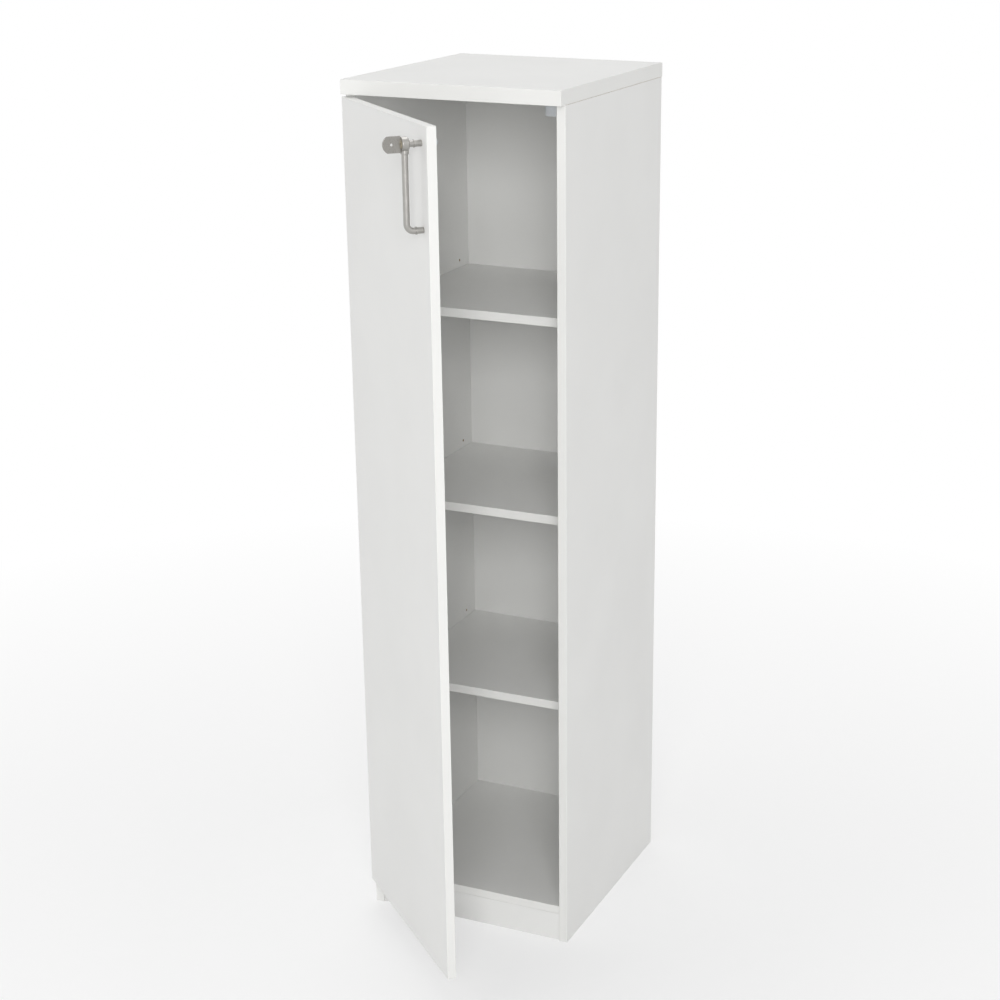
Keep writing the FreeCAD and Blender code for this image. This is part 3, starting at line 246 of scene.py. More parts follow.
def raw_edges(tree):
    """The chips' colour, and a mask of the faces without melamine: those that don't face left or right."""
    flakes = tree.nodes.new("ShaderNodeTexVoronoi")
    flakes.inputs["Scale"].default_value = CHIPS_PER_METRE
    feed(tree, stretched(tree, CHIPS_PULL), flakes.inputs["Vector"])
    grey = tree.nodes.new("ShaderNodeSeparateColor")
    feed(tree, flakes.outputs["Color"], grey.inputs["Color"])
    chips = blend_colours(tree, grey.outputs[0], CHIPS_DARK, CHIPS_PALE)
    direction = tree.nodes.new("ShaderNodeTexCoord").outputs["Normal"]
    parts = tree.nodes.new("ShaderNodeSeparateXYZ")
    feed(tree, direction, parts.inputs[0])
    sideways = combine(tree, "ABSOLUTE", parts.outputs["X"], 0)
    return chips, combine(tree, "LESS_THAN", sideways, 0.5)


BAND_WHITE = (0.825, 0.825, 0.805)
PAINT_WHITE = (0.80, 0.80, 0.785)
melamine = white_surface("white_melamine", WHITE, grain=1500, depth=0.00005, shine=0.46)
side_board = white_surface("white_melamine_raw_edges", WHITE, grain=1500, depth=0.00005, shine=0.46, raw=True)
edge_band = white_surface("white_edge_band", BAND_WHITE, grain=700, depth=0.00002, shine=0.38)
back_lacquer = white_surface("white_back_lacquer", PAINT_WHITE, grain=900, depth=0.00004, shine=0.6)
white_plastic = white_surface("white_plastic", PAINT_WHITE, grain=2200, depth=0.00002, shine=0.34)
whites = (melamine, side_board, edge_band, back_lacquer, white_plastic)
print("White finishes:", ", ".join(made.name for made in whites))

# %% [markdown]
# ## Metals
# Plated parts differ in how they were finished: the handle is brushed and satin, the hinges are bright
# pressed steel with faint drawing lines, the screws have a bluish zinc coat, and the cam housings are
# bare die-cast zinc.


# %% Metal finishes
PATCH_SHADE, PATCH_SHINE, STREAK_SHINE = 0.9, 0.08, 0.06
WORN_BRIGHT, METAL_WEAR = 1.25, 0.85
WEAR_WIDTH, METAL_EDGE = 0.0004, 0.0002


def metal(name, colour, shine, lines, brush=(1, 1, 1), depth=0.00001):
    """A plated or brushed metal, a little darker and rougher in patches and brighter on its worn edges.

    Lines are streaks per metre, and brush pulls them out along the axis where it is small."""
    finish, tree, shader = new_finish(name)
    patches = speckle(tree, where(tree), scale=70, detail=4, roughness=0.6)
    streaks = speckle(tree, stretched(tree, brush), scale=lines, detail=3)
    patchy = spread(tree, patches, MOST_NOISE, FULL_RANGE)
    tint = blend_colours(tree, patchy, shade(colour, PATCH_SHADE), colour)
    bright = tuple(min(part * WORN_BRIGHT, 0.95) for part in colour)
    worn = combine(tree, "MULTIPLY", edge_mask(tree, WEAR_WIDTH), METAL_WEAR)
    tint = blend_colours(tree, worn, tint, bright)
    feed(tree, tint, shader.inputs["Base Color"])
    from_streaks = spread(tree, streaks, MOST_NOISE, (-STREAK_SHINE, STREAK_SHINE))
    from_patches = spread(tree, patches, FULL_RANGE, (shine, shine + PATCH_SHINE))
    feed(tree, combine(tree, "ADD", from_streaks, from_patches), shader.inputs["Roughness"])
    shader.inputs["Metallic"].default_value = 1
    bump(tree, shader, streaks, depth, strength=0.5, edge_radius=METAL_EDGE)
    return finish


satin_nickel = metal("satin_nickel", (0.42, 0.41, 0.39), shine=0.3, lines=1600, brush=(1, 1, 0.05))
hinge_steel = metal("hinge_steel", (0.62, 0.62, 0.61), shine=0.22, lines=1200, brush=(1, 0.08, 1))
zinc_plate = metal("zinc_plate", (0.53, 0.55, 0.57), shine=0.34, lines=2500)
cast_zinc = metal("cast_zinc", (0.46, 0.47, 0.48), shine=0.45, lines=1800, depth=0.00004)
key_steel = metal("key_steel", (0.33, 0.32, 0.30), shine=0.27, lines=1800, brush=(1, 1, 0.1))
lock_brass = metal("lock_brass", (0.66, 0.60, 0.46), shine=0.25, lines=1500)
metals = (satin_nickel, hinge_steel, zinc_plate, cast_zinc, key_steel, lock_brass)
print("Metals:", ", ".join(made.name for made in metals))

# %% [markdown]
# ## Wood and rubber
# The dowels are raw beech, with short flecks along the grain. The door's soft pads are milky
# polyurethane, which lets some light through. Both are small, so one layer of noise is enough for each.

# %% Beech and rubber
BEECH_DARK, BEECH_PALE = (0.56, 0.38, 0.22), (0.76, 0.59, 0.40)
RUBBER_DARK, RUBBER_PALE = (0.62, 0.62, 0.58), (0.74, 0.74, 0.70)


def beech_wood():
    """Raw beech with short dark flecks along the dowel."""
    finish, tree, shader = new_finish("raw_beech")
    flecks = speckle(tree, stretched(tree, (0.12, 1, 1)), scale=900, detail=4, roughness=0.6)
    tint = blend_colours(tree, spread(tree, flecks, MIDDLE_NOISE, FULL_RANGE), BEECH_DARK, BEECH_PALE)
    feed(tree, tint, shader.inputs["Base Color"])
    feed(tree, spread(tree, flecks, FULL_RANGE, (0.6, 0.8)), shader.inputs["Roughness"])
    bump(tree, shader, flecks, depth=0.0001, strength=0.6)
    return finish


def clear_rubber():
    """The door's soft pads: milky, slightly see-through polyurethane."""
    finish, tree, shader = new_finish("clear_rubber")
    haze = speckle(tree, where(tree), scale=800, detail=3)
    feed(tree, blend_colours(tree, haze, RUBBER_DARK, RUBBER_PALE), shader.inputs["Base Color"])
    feed(tree, spread(tree, haze, FULL_RANGE, (0.22, 0.38)), shader.inputs["Roughness"])
    shader.inputs["Transmission Weight"].default_value = 0.35
    shader.inputs["IOR"].default_value = 1.48
    bump(tree, shader, haze, depth=0.00003, strength=0.4, edge_radius=0.0003)
    return finish


beech = beech_wood()
rubber = clear_rubber()
print("Small finishes:", beech.name, "and", rubber.name)

# %% [markdown]
# ## Dressing the CAD nodes
# Every CAD node comes with the name of its material slot, so one table from slots to finishes dresses all
# of them. Only the two sides take the board with raw edges: their rear, upper and lower edges are bare.

# %% Finishes of the CAD nodes
finishes = {
    "white_board": melamine,
    "back_board": back_lacquer,
    "edge_band": edge_band,
    "satin_nickel": satin_nickel,
    "hinge_steel": hinge_steel,
    "zinc_screw": zinc_plate,
    "die_cast_zinc": cast_zinc,
    "key_steel": key_steel,
    "lock_brass": lock_brass,
    "beech": beech,
    "white_plastic": white_plastic,
    "clear_rubber": rubber,
}
slots = {row["node"]: row["material_slot"] for row in frame["record"]["subparts"]}
for node, thing in frame["nodes"].items():
    thing.data.materials.clear()
    thing.data.materials.append(finishes[slots[node]])
for node in ("left_side_panel", "right_side_panel"):
    frame["nodes"][node].data.materials[0] = side_board
print("Dressed", len(frame["nodes"]), "CAD nodes")

# %% [markdown]
# ## Where things are
# The CAD model was drawn with the door closed, with X from the cabinet's left end and Y from the top's
# front edge. The pieces below are modelled in those places, in millimetres, as a joiner would measure
# them. One matrix carries a piece of the carcass to its place, and another one also turns a piece of the
# door open.

# %% Places
DOOR_OPEN = math.radians(42)
HINGE_LEVELS = (154, 716, 1423)
LOCK_ACROSS, LOCK_LEVEL, FOOT_LEVEL = 374.5, 1495.5, 1363.5
DOOR_THICK = 16
TO_METRES = Matrix.Diagonal((0.001, 0.001, 0.001, 1))
ON_CARCASS = TO_METRES @ Matrix.Translation((-200, -29.5, 0))
CUP_PIVOT_SHUT = Vector((11.8, 13.8, 0))
CUP_PIVOT_OPEN = Vector((-184.46405, -20.92872, 0))
ON_DOOR = (TO_METRES @ Matrix.Translation(CUP_PIVOT_OPEN) @ Matrix.Rotation(-DOOR_OPEN, 4, "Z")
           @ Matrix.Translation(-CUP_PIVOT_SHUT))
FORWARD = Matrix.Rotation(math.radians(90), 4, "X")
BACKWARD = Matrix.Rotation(math.radians(-90), 4, "X")
RIGHTWARD = Matrix.Rotation(math.radians(90), 4, "Y")
LEFTWARD = Matrix.Rotation(math.radians(-90), 4, "Y")
DOWNWARD = Matrix.Rotation(math.radians(180), 4, "X")


def at(x, y, z, turn=Matrix.Identity(4)):
    """A place in millimetres, with the piece's own Z turned to face a given way."""
    return Matrix.Translation((x, y, z)) @ turn


print("The lock's axis meets the door's face at", ON_DOOR @ Vector((LOCK_ACROSS, 0, LOCK_LEVEL)))

# %% [markdown]
# ## Working by hand, in code
# An edit-mode operator works on what is selected. So each piece starts with nothing selected, and faces
# or edges are then selected by their place, where one would click on them by hand.

# %% Selecting
NEAR = 0.01  # millimetres between two places that count as one


def begin():
    """Nothing selected, in object mode."""
    if bpy.context.object and bpy.context.object.mode == "EDIT":
        bpy.ops.object.mode_set(mode="OBJECT")
    bpy.ops.object.select_all(action="DESELECT")


def only(piece):
    begin()
    piece.select_set(True)
    bpy.context.view_layer.objects.active = piece


def pick(piece, kind, test):
    """Edit mode, with only those faces or edges selected that pass a test.

    The test gets a face's middle and normal, or the place of each end of an edge."""
    only(piece)
    bpy.ops.object.mode_set(mode="EDIT")
    bpy.ops.mesh.select_mode(type=kind)
    bpy.ops.mesh.select_all(action="DESELECT")
    bpy.ops.object.mode_set(mode="OBJECT")
    if kind == "FACE":
        for face in piece.data.polygons:
            face.select = test(face.center, face.normal)
    else:
        for edge in piece.data.edges:
            edge.select = all(test(piece.data.vertices[end].co) for end in edge.vertices)
    bpy.ops.object.mode_set(mode="EDIT")


def extrude(shift):
    """Draws the selected faces or edges out, and leaves the new ones selected."""
    bpy.ops.mesh.extrude_region_move(TRANSFORM_OT_translate={"value": shift})


def done():
    bpy.ops.object.mode_set(mode="OBJECT")


# %% [markdown]
# ## Starting, cutting and rounding
# Rods and blocks are the raw stock of all that follows. A boolean modifier cuts one with another, and a
# bevel modifier takes the sharpness off every edge together. Each is applied right away, so that the next
# step works on true points.

# %% Stock and modifiers
SHARP_EDGE = 35  # degrees between two faces whose edge is rounded or shaded sharp


def apply_modifiers(piece):
    only(piece)
    for modifier in list(piece.modifiers):
        bpy.ops.object.modifier_apply(modifier=modifier.name)


def round_off(piece, width, steps=2, clamp=True):
    """Rounds every sharp edge by the same small radius."""
    bevel = piece.modifiers.new("rounded_edges", "BEVEL")
    bevel.width = width
    bevel.segments = steps
    bevel.use_clamp_overlap = clamp
    bevel.limit_method = "ANGLE"
    bevel.angle_limit = math.radians(SHARP_EDGE)
    apply_modifiers(piece)


def combine_solids(piece, tool, kind="DIFFERENCE"):
    """Cuts a tool's shape out of a piece, or joins the two."""
    boolean = piece.modifiers.new("combined", "BOOLEAN")
    boolean.operation = kind
    boolean.solver = "EXACT"
    boolean.object = tool
    apply_modifiers(piece)
    bpy.data.objects.remove(tool)


def clean(piece, gap=1e-4):
    """Merges doubled points and turns all faces outwards."""
    only(piece)
    bpy.ops.object.mode_set(mode="EDIT")
    bpy.ops.mesh.select_all(action="SELECT")
    bpy.ops.mesh.remove_doubles(threshold=gap)
    bpy.ops.mesh.normals_make_consistent(inside=False)
    done()


def rod(radius, low, high, sides=64):
    """A plain cylinder on the Z axis between two levels, to be shaped further."""
    begin()
    bpy.ops.mesh.primitive_cylinder_add(vertices=sides, radius=radius, depth=high - low,
                                        location=(0, 0, (low + high) / 2))
    bpy.ops.object.transform_apply(location=True, rotation=True, scale=True)
    return bpy.context.object


def block(low, high):
    """A plain block between two corners, to be shaped further."""
    begin()
    bpy.ops.mesh.primitive_cube_add(size=1, location=[(a + b) / 2 for a, b in zip(low, high)],
                                    scale=[b - a for a, b in zip(low, high)])
    bpy.ops.object.transform_apply(location=True, rotation=True, scale=True)
    return bpy.context.object


# %% [markdown]
# ## Copying and finishing
# What repeats is modelled once and copied to its places, and the copies are joined into one piece. A
# finished piece gets smooth shading and its finish, and moves with the CAD body whose node it stands for.


# %% Copies and finished pieces
def join(pieces):
    begin()
    for piece in pieces:
        piece.select_set(True)
    bpy.context.view_layer.objects.active = pieces[0]
    if len(pieces) > 1:
        bpy.ops.object.join()
    return pieces[0]


def copies(piece, places):
    """One piece that holds a copy of the modelled one at each place."""
    made = []
    for place in places:
        twin = piece.copy()
        twin.data = piece.data.copy()
        twin.data.transform(place)
        bpy.context.scene.collection.objects.link(twin)
        made.append(twin)
    bpy.data.objects.remove(piece)
    return join(made)


def deliver(piece, name, node, angle=SHARP_EDGE):
    """Gives a piece its shading, name and finish, and lets it take a CAD node's place on its body.

    Edges where the surface turns by less than the angle are shaded smooth, and flat faces stay flat."""
    only(piece)
    bpy.ops.object.shade_smooth_by_angle(angle=math.radians(angle))
    flats = piece.modifiers.new("flat_faces_stay_flat", "WEIGHTED_NORMAL")
    flats.keep_sharp = True
    flats.thresh = 0
    apply_modifiers(piece)
    piece.name = name
    piece.data.name = name
    piece.data.materials.clear()
    piece.data.materials.append(finishes[slots[node]])
    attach(piece, frame["nodes"][node]["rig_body"])
    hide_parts(node)
    piece.data.calc_loop_triangles()
    print(name, "has", len(piece.data.loop_triangles), "triangles")


# %% [markdown]
# ## The handle's bar
# The real bar is round steel rod, cut to length and bent once at its lower end. Extrude and spin do just
# that with a ring of points: it is drawn down to the bend, spun through a quarter turn, and drawn on to
# the foot. The upper end sits in the lock head's socket. A curve with a bevel would also do, but it would
# leave no clean ends to close.

# %% Handle bar
BAR_RADIUS, BAR_OUT, BEND, FOOT_OUT = 5.0, 27.0, 11.0, 13.0
BAR_TOP = LOCK_LEVEL - 8.6
begin()
bpy.ops.mesh.primitive_circle_add(vertices=48, radius=BAR_RADIUS, fill_type="NOTHING",
                                  location=(0, -BAR_OUT, BAR_TOP))
bar = bpy.context.object
bpy.ops.object.transform_apply(location=True, rotation=True, scale=True)
bpy.ops.object.mode_set(mode="EDIT")
bpy.ops.mesh.select_all(action="SELECT")
extrude((0, 0, FOOT_LEVEL + BEND - BAR_TOP))
bpy.ops.mesh.spin(steps=16, angle=math.radians(90), axis=(-1, 0, 0),
                  center=(0, BEND - BAR_OUT, FOOT_LEVEL + BEND))
extrude((0, BAR_OUT - BEND - FOOT_OUT, 0))
bpy.ops.mesh.select_all(action="SELECT")
bpy.ops.mesh.fill_holes(sides=0)
done()
clean(bar)
bar.data.transform(ON_DOOR @ at(LOCK_ACROSS, 0, 0))
deliver(bar, "bent_handle_bar", "handle_bow")

# %% [markdown]
# ## Feet of the handle
# Each foot is a turned sleeve with a wider ring on it. Turned parts have small chamfers that catch the
# light. The ring gets a shallow groove round its middle: an inset of its side, pushed inwards. The upper
# foot is bored wide for the lock's neck, and the lower one narrow for the screw, so each copy is bored in
# its own way.


# %% Stand-offs and rings
STAND_LONG, STAND_RADIUS, RING_RADIUS = 11.2, 5.0, 6.2
UPPER_BORE, LOWER_BORE, DRILL_LONG = 4.55, 2.0, 20
SLEEVE_EDGE, RING_EDGE = 0.35, 0.12
GROOVE_EDGE, GROOVE_DEEP = 0.62, 0.18


def on_both_feet(shape, name, node):
    """Two copies of a turned shape, each bored through and set on the door."""
    made = []
    for level, bore in ((LOCK_LEVEL, UPPER_BORE), (FOOT_LEVEL, LOWER_BORE)):
        foot = shape.copy()
        foot.data = shape.data.copy()
        bpy.context.scene.collection.objects.link(foot)
        combine_solids(foot, rod(bore, -1, DRILL_LONG, 48))
        foot.data.transform(ON_DOOR @ at(LOCK_ACROSS, 0, level, FORWARD))
        made.append(foot)
    bpy.data.objects.remove(shape)
    deliver(join(made), name, node)


sleeve = rod(STAND_RADIUS, 0, STAND_LONG)
round_off(sleeve, SLEEVE_EDGE)
on_both_feet(sleeve, "turned_stand_offs", "handle_stand_offs")

ring = rod(RING_RADIUS, STAND_LONG, FOOT_OUT, 72)
pick(ring, "FACE", lambda middle, normal: abs(normal.z) < 0.5)
bpy.ops.mesh.inset(thickness=GROOVE_EDGE, depth=-GROOVE_DEEP, use_boundary=True)
done()
round_off(ring, RING_EDGE)
on_both_feet(ring, "turned_rings", "handle_rings")

# %% [markdown]
# ## The lock's head
# The head is a turned knob on a neck that runs through the door. Its rear rim is well rounded for the
# fingers, and its front rim less so. The neck is drawn out of the rear face in steps: the thick part, the
# thin part through the door, and a few ridges of thread for the nut. The bar's socket is a round boss,
# joined on below. Last, the socket and the passage for the core's spindle are bored.

# %% Lock head
HEAD_RADIUS, HEAD_FRONT, HEAD_BACK = 11.0, 33.0, 21.0
FRONT_ROUND, REAR_ROUND = 0.8, 3.5
NECK_OUT, NECK_IN, THREAD_START = 5.0, 4.5, -15.4
THREAD_TURNS, THREAD_DEEP, FLANK, CREST = 6, 0.3, 0.12, 0.7
CORE_BORE, CORE_DEEP = 7.05, 6
head = rod(HEAD_RADIUS, HEAD_BACK, HEAD_FRONT, 96)
pick(head, "EDGE", lambda p: p.z < HEAD_BACK + NEAR)
bpy.ops.mesh.bevel(offset=REAR_ROUND, segments=8)
pick(head, "EDGE", lambda p: p.z > HEAD_FRONT - NEAR)
bpy.ops.mesh.bevel(offset=FRONT_ROUND, segments=4)
pick(head, "FACE", lambda middle, normal: normal.z < -0.9 and math.hypot(middle.x, middle.y) < 1)
bpy.ops.mesh.inset(thickness=HEAD_RADIUS - REAR_ROUND - NECK_OUT)
extrude((0, 0, FOOT_OUT - HEAD_BACK))
bpy.ops.mesh.inset(thickness=NECK_OUT - NECK_IN)
extrude((0, 0, THREAD_START - FOOT_OUT))
widen = NECK_IN / (NECK_IN - THREAD_DEEP)
for turn in range(THREAD_TURNS):
    bpy.ops.mesh.inset(thickness=THREAD_DEEP)
    extrude((0, 0, -FLANK))
    bpy.ops.transform.resize(value=(widen, widen, 1))
    extrude((0, 0, -CREST))
done()
combine_solids(head, rod(CORE_BORE, HEAD_FRONT - CORE_DEEP, HEAD_FRONT + 1, 72))

# %% Socket and passage
BOSS_RADIUS, BOSS_LONG, BOSS_ROUND, BOSS_DROP = 6.5, 9.0, 0.7, 15
SOCKET_RADIUS, SOCKET_DEEP = BAR_RADIUS + 0.1, 6.6
SPINDLE_BORE, PASSAGE_END = 3.3, -22
boss = rod(BOSS_RADIUS, 0, BOSS_LONG)
pick(boss, "EDGE", lambda p: p.z < NEAR)
bpy.ops.mesh.bevel(offset=BOSS_ROUND, segments=3)
done()
boss.data.transform(at(0, -BOSS_DROP, BAR_OUT, BACKWARD))
combine_solids(head, boss, "UNION")
socket = rod(SOCKET_RADIUS, 0, SOCKET_DEEP)
socket.data.transform(at(0, -BOSS_DROP, BAR_OUT, BACKWARD))
combine_solids(head, socket)
combine_solids(head, rod(SPINDLE_BORE, PASSAGE_END, HEAD_FRONT, 48))
clean(head)
head.data.transform(ON_DOOR @ at(LOCK_ACROSS, 0, LOCK_LEVEL, FORWARD))
deliver(head, "turned_lock_head", "lock_head", angle=30)

# %% [markdown]
# ## Screws
# The cabinet has seven sorts of screw, alike but for their size: a domed head with a cross recess, a
# plain neck, a thread and a point. One helper models such a screw, so that each sort is modelled once and
# then copied to its holes. The recess is cut by two tapered wedges, as the punch does it. The thread is a
# row of ridges: most of it is in wood.


# %% A screw
NECK_SHARE, THREAD_SHARE, POINT_SHARE = 0.2, 0.68, 0.12
FLANK_SHARE, VALLEY_SHARE = 0.35, 0.3
CORE_WIDTH, POINT_WIDTH = 0.74, 0.12
DOME_OF_HEAD, RECESS_REACH, RECESS_HALF, RECESS_TAPER = 0.6, 0.6, 0.14, 0.6


def cross_recess(piece, reach, half, low, high):
    """Cuts a cross that narrows towards its floor."""
    for across, along in ((reach, half), (half, reach)):
        wedge = block((-across, -along, low), (across, along, high))
        pick(wedge, "FACE", lambda middle, normal: normal.z < -0.9)
        bpy.ops.transform.resize(value=(RECESS_TAPER, RECESS_TAPER, 1))
        done()
        combine_solids(piece, wedge)


def screw(head, rise, shank, length, ridges=6):
    """A screw on the Z axis, its point downwards and the underside of its head at 0.

    Head and shank are radii, and rise is the height of the head."""
    piece = rod(head, 0, rise, 40)
    pick(piece, "EDGE", lambda p: p.z > rise - NEAR)
    bpy.ops.mesh.bevel(offset=DOME_OF_HEAD * rise, segments=5)
    pick(piece, "FACE", lambda middle, normal: normal.z < -0.9)
    bpy.ops.mesh.inset(thickness=head - shank)
    extrude((0, 0, -NECK_SHARE * length))
    pitch = THREAD_SHARE * length / ridges
    for ridge in range(ridges):
        extrude((0, 0, -FLANK_SHARE * pitch))
        bpy.ops.transform.resize(value=(CORE_WIDTH, CORE_WIDTH, 1))
        extrude((0, 0, -VALLEY_SHARE * pitch))
        extrude((0, 0, -FLANK_SHARE * pitch))
        bpy.ops.transform.resize(value=(1 / CORE_WIDTH, 1 / CORE_WIDTH, 1))
    extrude((0, 0, -POINT_SHARE * length))
    bpy.ops.transform.resize(value=(POINT_WIDTH, POINT_WIDTH, 1))
    done()
    cross_recess(piece, RECESS_REACH * head, RECESS_HALF * head, low=-0.2 * rise, high=1.5 * rise)
    return piece


# %% [markdown]
# ## All screws in their holes
# Every hinge has two cup screws in the door, two plate screws in the side, and one screw that holds the arm
# on its plate. A negative and a positive shift give the places above and below a hinge's middle. With no
# shift the two are one.


# %% All screws
def on_hinges(base, x, y, shift, turn):
    """A place above and one below each hinge's middle, or one at it."""
    return [base @ at(x, y, level + side, turn) for level in HINGE_LEVELS for side in sorted({-shift, shift})]


def deliver_screws(name, node, one, places):
    """One modelled screw, copied to all its places."""
    deliver(copies(one, places), name, node, angle=40)


STRIKE_SCREWS_ACROSS, STRIKE_SCREWS_IN, STRIKE_LEVEL = (369, 379), 33.9, 1525.5
BACK_SCREWS_ACROSS, BACK_FACE, BACK_SCREW_LEVEL = (76, 200, 324), 439, 62
CAM_FACE = 23.4
deliver_screws("cross_head_cup_screws", "hinge_cup_screws",
               screw(head=3.4, rise=1.2, shank=1.75, length=12.0),
               on_hinges(ON_DOOR, x=33.5, y=17.2, shift=22.5, turn=BACKWARD))
deliver_screws("cross_head_plate_screws", "hinge_plate_screws",
               screw(head=5.0, rise=1.6, shank=2.5, length=14.0),
               on_hinges(ON_CARCASS, x=19.0, y=54.5, shift=16.0, turn=RIGHTWARD))
deliver_screws("cross_head_arm_screws", "hinge_arm_screws",
               screw(head=4.2, rise=1.6, shank=2.5, length=9.0),
               on_hinges(ON_CARCASS, x=34.0, y=69.5, shift=0.0, turn=RIGHTWARD))
deliver_screws("cross_head_strike_screws", "strike_plate_screws",
               screw(head=3.2, rise=1.6, shank=1.75, length=16.5),
               [ON_CARCASS @ at(x, STRIKE_SCREWS_IN, STRIKE_LEVEL, DOWNWARD) for x in STRIKE_SCREWS_ACROSS])
deliver_screws("cross_head_back_screws", "back_panel_screws",
               screw(head=3.5, rise=2.0, shank=1.75, length=25.0, ridges=12),
               [ON_CARCASS @ at(x, BACK_FACE, BACK_SCREW_LEVEL, BACKWARD) for x in BACK_SCREWS_ACROSS])
deliver_screws("cross_head_handle_screw", "handle_screw",
               screw(head=4.0, rise=2.2, shank=2.0, length=37.0, ridges=16),
               [ON_DOOR @ at(LOCK_ACROSS, DOOR_THICK, FOOT_LEVEL, BACKWARD)])
deliver_screws("cross_head_cam_screw", "lock_cam_screw",
               screw(head=4.0, rise=2.0, shank=1.5, length=8.0),
               [ON_DOOR @ at(LOCK_ACROSS, CAM_FACE, LOCK_LEVEL, BACKWARD)])

# %% [markdown]
# ## The key
# The bow is a flat plate that ends in an arc. It starts as a short rod lying on its side, whose ends are
# the plate's faces. Three bisects trim the rod to the plate's width, and its flat end is drawn down to
# the blade. The corners where the arc begins are rounded, and a hole for the key ring and a slot for the
# blade are cut.

# %% Key bow
BOW_HALF, BOW_FLAT, BOW_ARC = 12.7, 1.4, 14.5025
BOW_LOW, BOW_CUT, BOW_SHOULDER, BOW_END = 33.6, 46, 54.5, 62.0
BOW_CORNER, BOW_EDGE, RING_HOLE, RING_LEVEL = 2.0, 0.35, 2.2, 48
BLADE_FLAT, BLADE_HALF, BLADE_IN_BOW = 0.75, 1.9, 8
AT_LOCK = ON_DOOR @ at(LOCK_ACROSS, 0, LOCK_LEVEL, FORWARD)
bow = rod(BOW_ARC, -BOW_FLAT, BOW_FLAT, 128)
bow.data.transform(at(0, 0, BOW_END - BOW_ARC, RIGHTWARD))
trims = (((0, BOW_HALF, 0), (0, 1, 0)), ((0, -BOW_HALF, 0), (0, -1, 0)), ((0, 0, BOW_CUT), (0, 0, -1)))
for place, way in trims:
    pick(bow, "FACE", lambda middle, normal: True)
    bpy.ops.mesh.bisect(plane_co=place, plane_no=way, use_fill=True, clear_outer=True)
pick(bow, "FACE", lambda middle, normal: normal.z < -0.9 and middle.z < BOW_CUT + NEAR)
extrude((0, 0, BOW_LOW - BOW_CUT))
pick(bow, "EDGE", lambda p: abs(p.z - BOW_SHOULDER) < 0.3 and abs(p.y) > BOW_HALF - NEAR)
bpy.ops.mesh.bevel(offset=BOW_CORNER, segments=6)
done()
ring_hole = rod(RING_HOLE, -3, 3, 48)
ring_hole.data.transform(at(0, 0, RING_LEVEL, RIGHTWARD))
combine_solids(bow, ring_hole)
slot = block((-BLADE_FLAT, -BLADE_HALF, BOW_LOW - 1), (BLADE_FLAT, BLADE_HALF, BOW_LOW + BLADE_IN_BOW))
combine_solids(bow, slot)
round_off(bow, BOW_EDGE, steps=3)
clean(bow)
bow.data.transform(AT_LOCK)
deliver(bow, "rounded_key_bow", "key_bow")

# %% [markdown]
# ## The key's blade
# The blade is a flat bar with a groove milled in each flank and notches filed into one edge. An inset
# pushed inwards makes both grooves in one step. Each notch is cut by a block that is set on its edge, as
# a locksmith sets the file.

# %% Key blade
BLADE_TIP, BLADE_TOP = 11, BOW_LOW + BLADE_IN_BOW
FLANK_RIM, FLANK_DEEP, TIP_ROUND, BLADE_EDGE = 1.25, 0.25, 0.5, 0.08
BITTING = ((15.0, 0.5), (18.5, 0.9), (22.0, 0.35), (25.5, 0.75), (29.0, 0.5))
FILE_LEAN = Matrix.Rotation(math.radians(45), 4, "X")
blade = block((-BLADE_FLAT, -BLADE_HALF, BLADE_TIP), (BLADE_FLAT, BLADE_HALF, BLADE_TOP))
pick(blade, "FACE", lambda middle, normal: abs(normal.x) > 0.9)
bpy.ops.mesh.inset(thickness=FLANK_RIM, depth=-FLANK_DEEP)
pick(blade, "EDGE", lambda p: p.z < BLADE_TIP + NEAR and abs(p.x) > BLADE_FLAT - NEAR)
bpy.ops.mesh.bevel(offset=TIP_ROUND, segments=3)
done()
for level, deep in BITTING:
    file_tool = block((-2, -1, -1), (2, 1, 1))
    file_tool.data.transform(at(0, BLADE_HALF + math.sqrt(2) - deep, level, FILE_LEAN))
    combine_solids(blade, file_tool)
round_off(blade, BLADE_EDGE, steps=1)
clean(blade, 1e-5)
blade.data.transform(AT_LOCK)
deliver(blade, "cut_key_blade", "key_blade", angle=25)

# %% [markdown]
# ## Caps and bumpers
# White caps hide the cams in the sides, and two clear bumpers keep the door from knocking on the right
# side. All are low domes, so a wide bevel on one rim of a rod does the whole shape.


# %% Domes
DOME_SHARE = 0.85


def dome(radius, height):
    """A disc whose upper rim is rounded over most of its height."""
    piece = rod(radius, 0, height)
    pick(piece, "EDGE", lambda p: p.z > height - NEAR)
    bpy.ops.mesh.bevel(offset=DOME_SHARE * height, segments=6)
    done()
    return piece


CAP_RADIUS, CAP_THICK = 8.5, 1.2
PAD_RADIUS, PAD_THICK = 4.0, 1.4
INNER_LEFT, INNER_RIGHT = 16, 384
FITTING_PLACES, TOP_CAM_LEVEL = (79.5, 385), 1493
cap_places = [ON_CARCASS @ at(x, y, TOP_CAM_LEVEL, turn) for y in FITTING_PLACES
              for x, turn in ((INNER_LEFT, RIGHTWARD), (INNER_RIGHT, LEFTWARD))]
deliver(copies(dome(CAP_RADIUS, CAP_THICK), cap_places), "domed_cover_caps", "cam_cover_caps")
PAD_ACROSS, PAD_LEVELS = 392, (94, 1455.5)
pad_places = [ON_DOOR @ at(PAD_ACROSS, DOOR_THICK, level, BACKWARD) for level in PAD_LEVELS]
deliver(copies(dome(PAD_RADIUS, PAD_THICK), pad_places), "domed_door_bumpers", "door_bumpers")

# %% [markdown]
# ## Shelf pins
# Each shelf lies on four steel pins, pushed into holes in the sides. A pin is a rod with rounded ends,
# and a thin collar stops it at the board's face. The two are rounded apart and then joined.

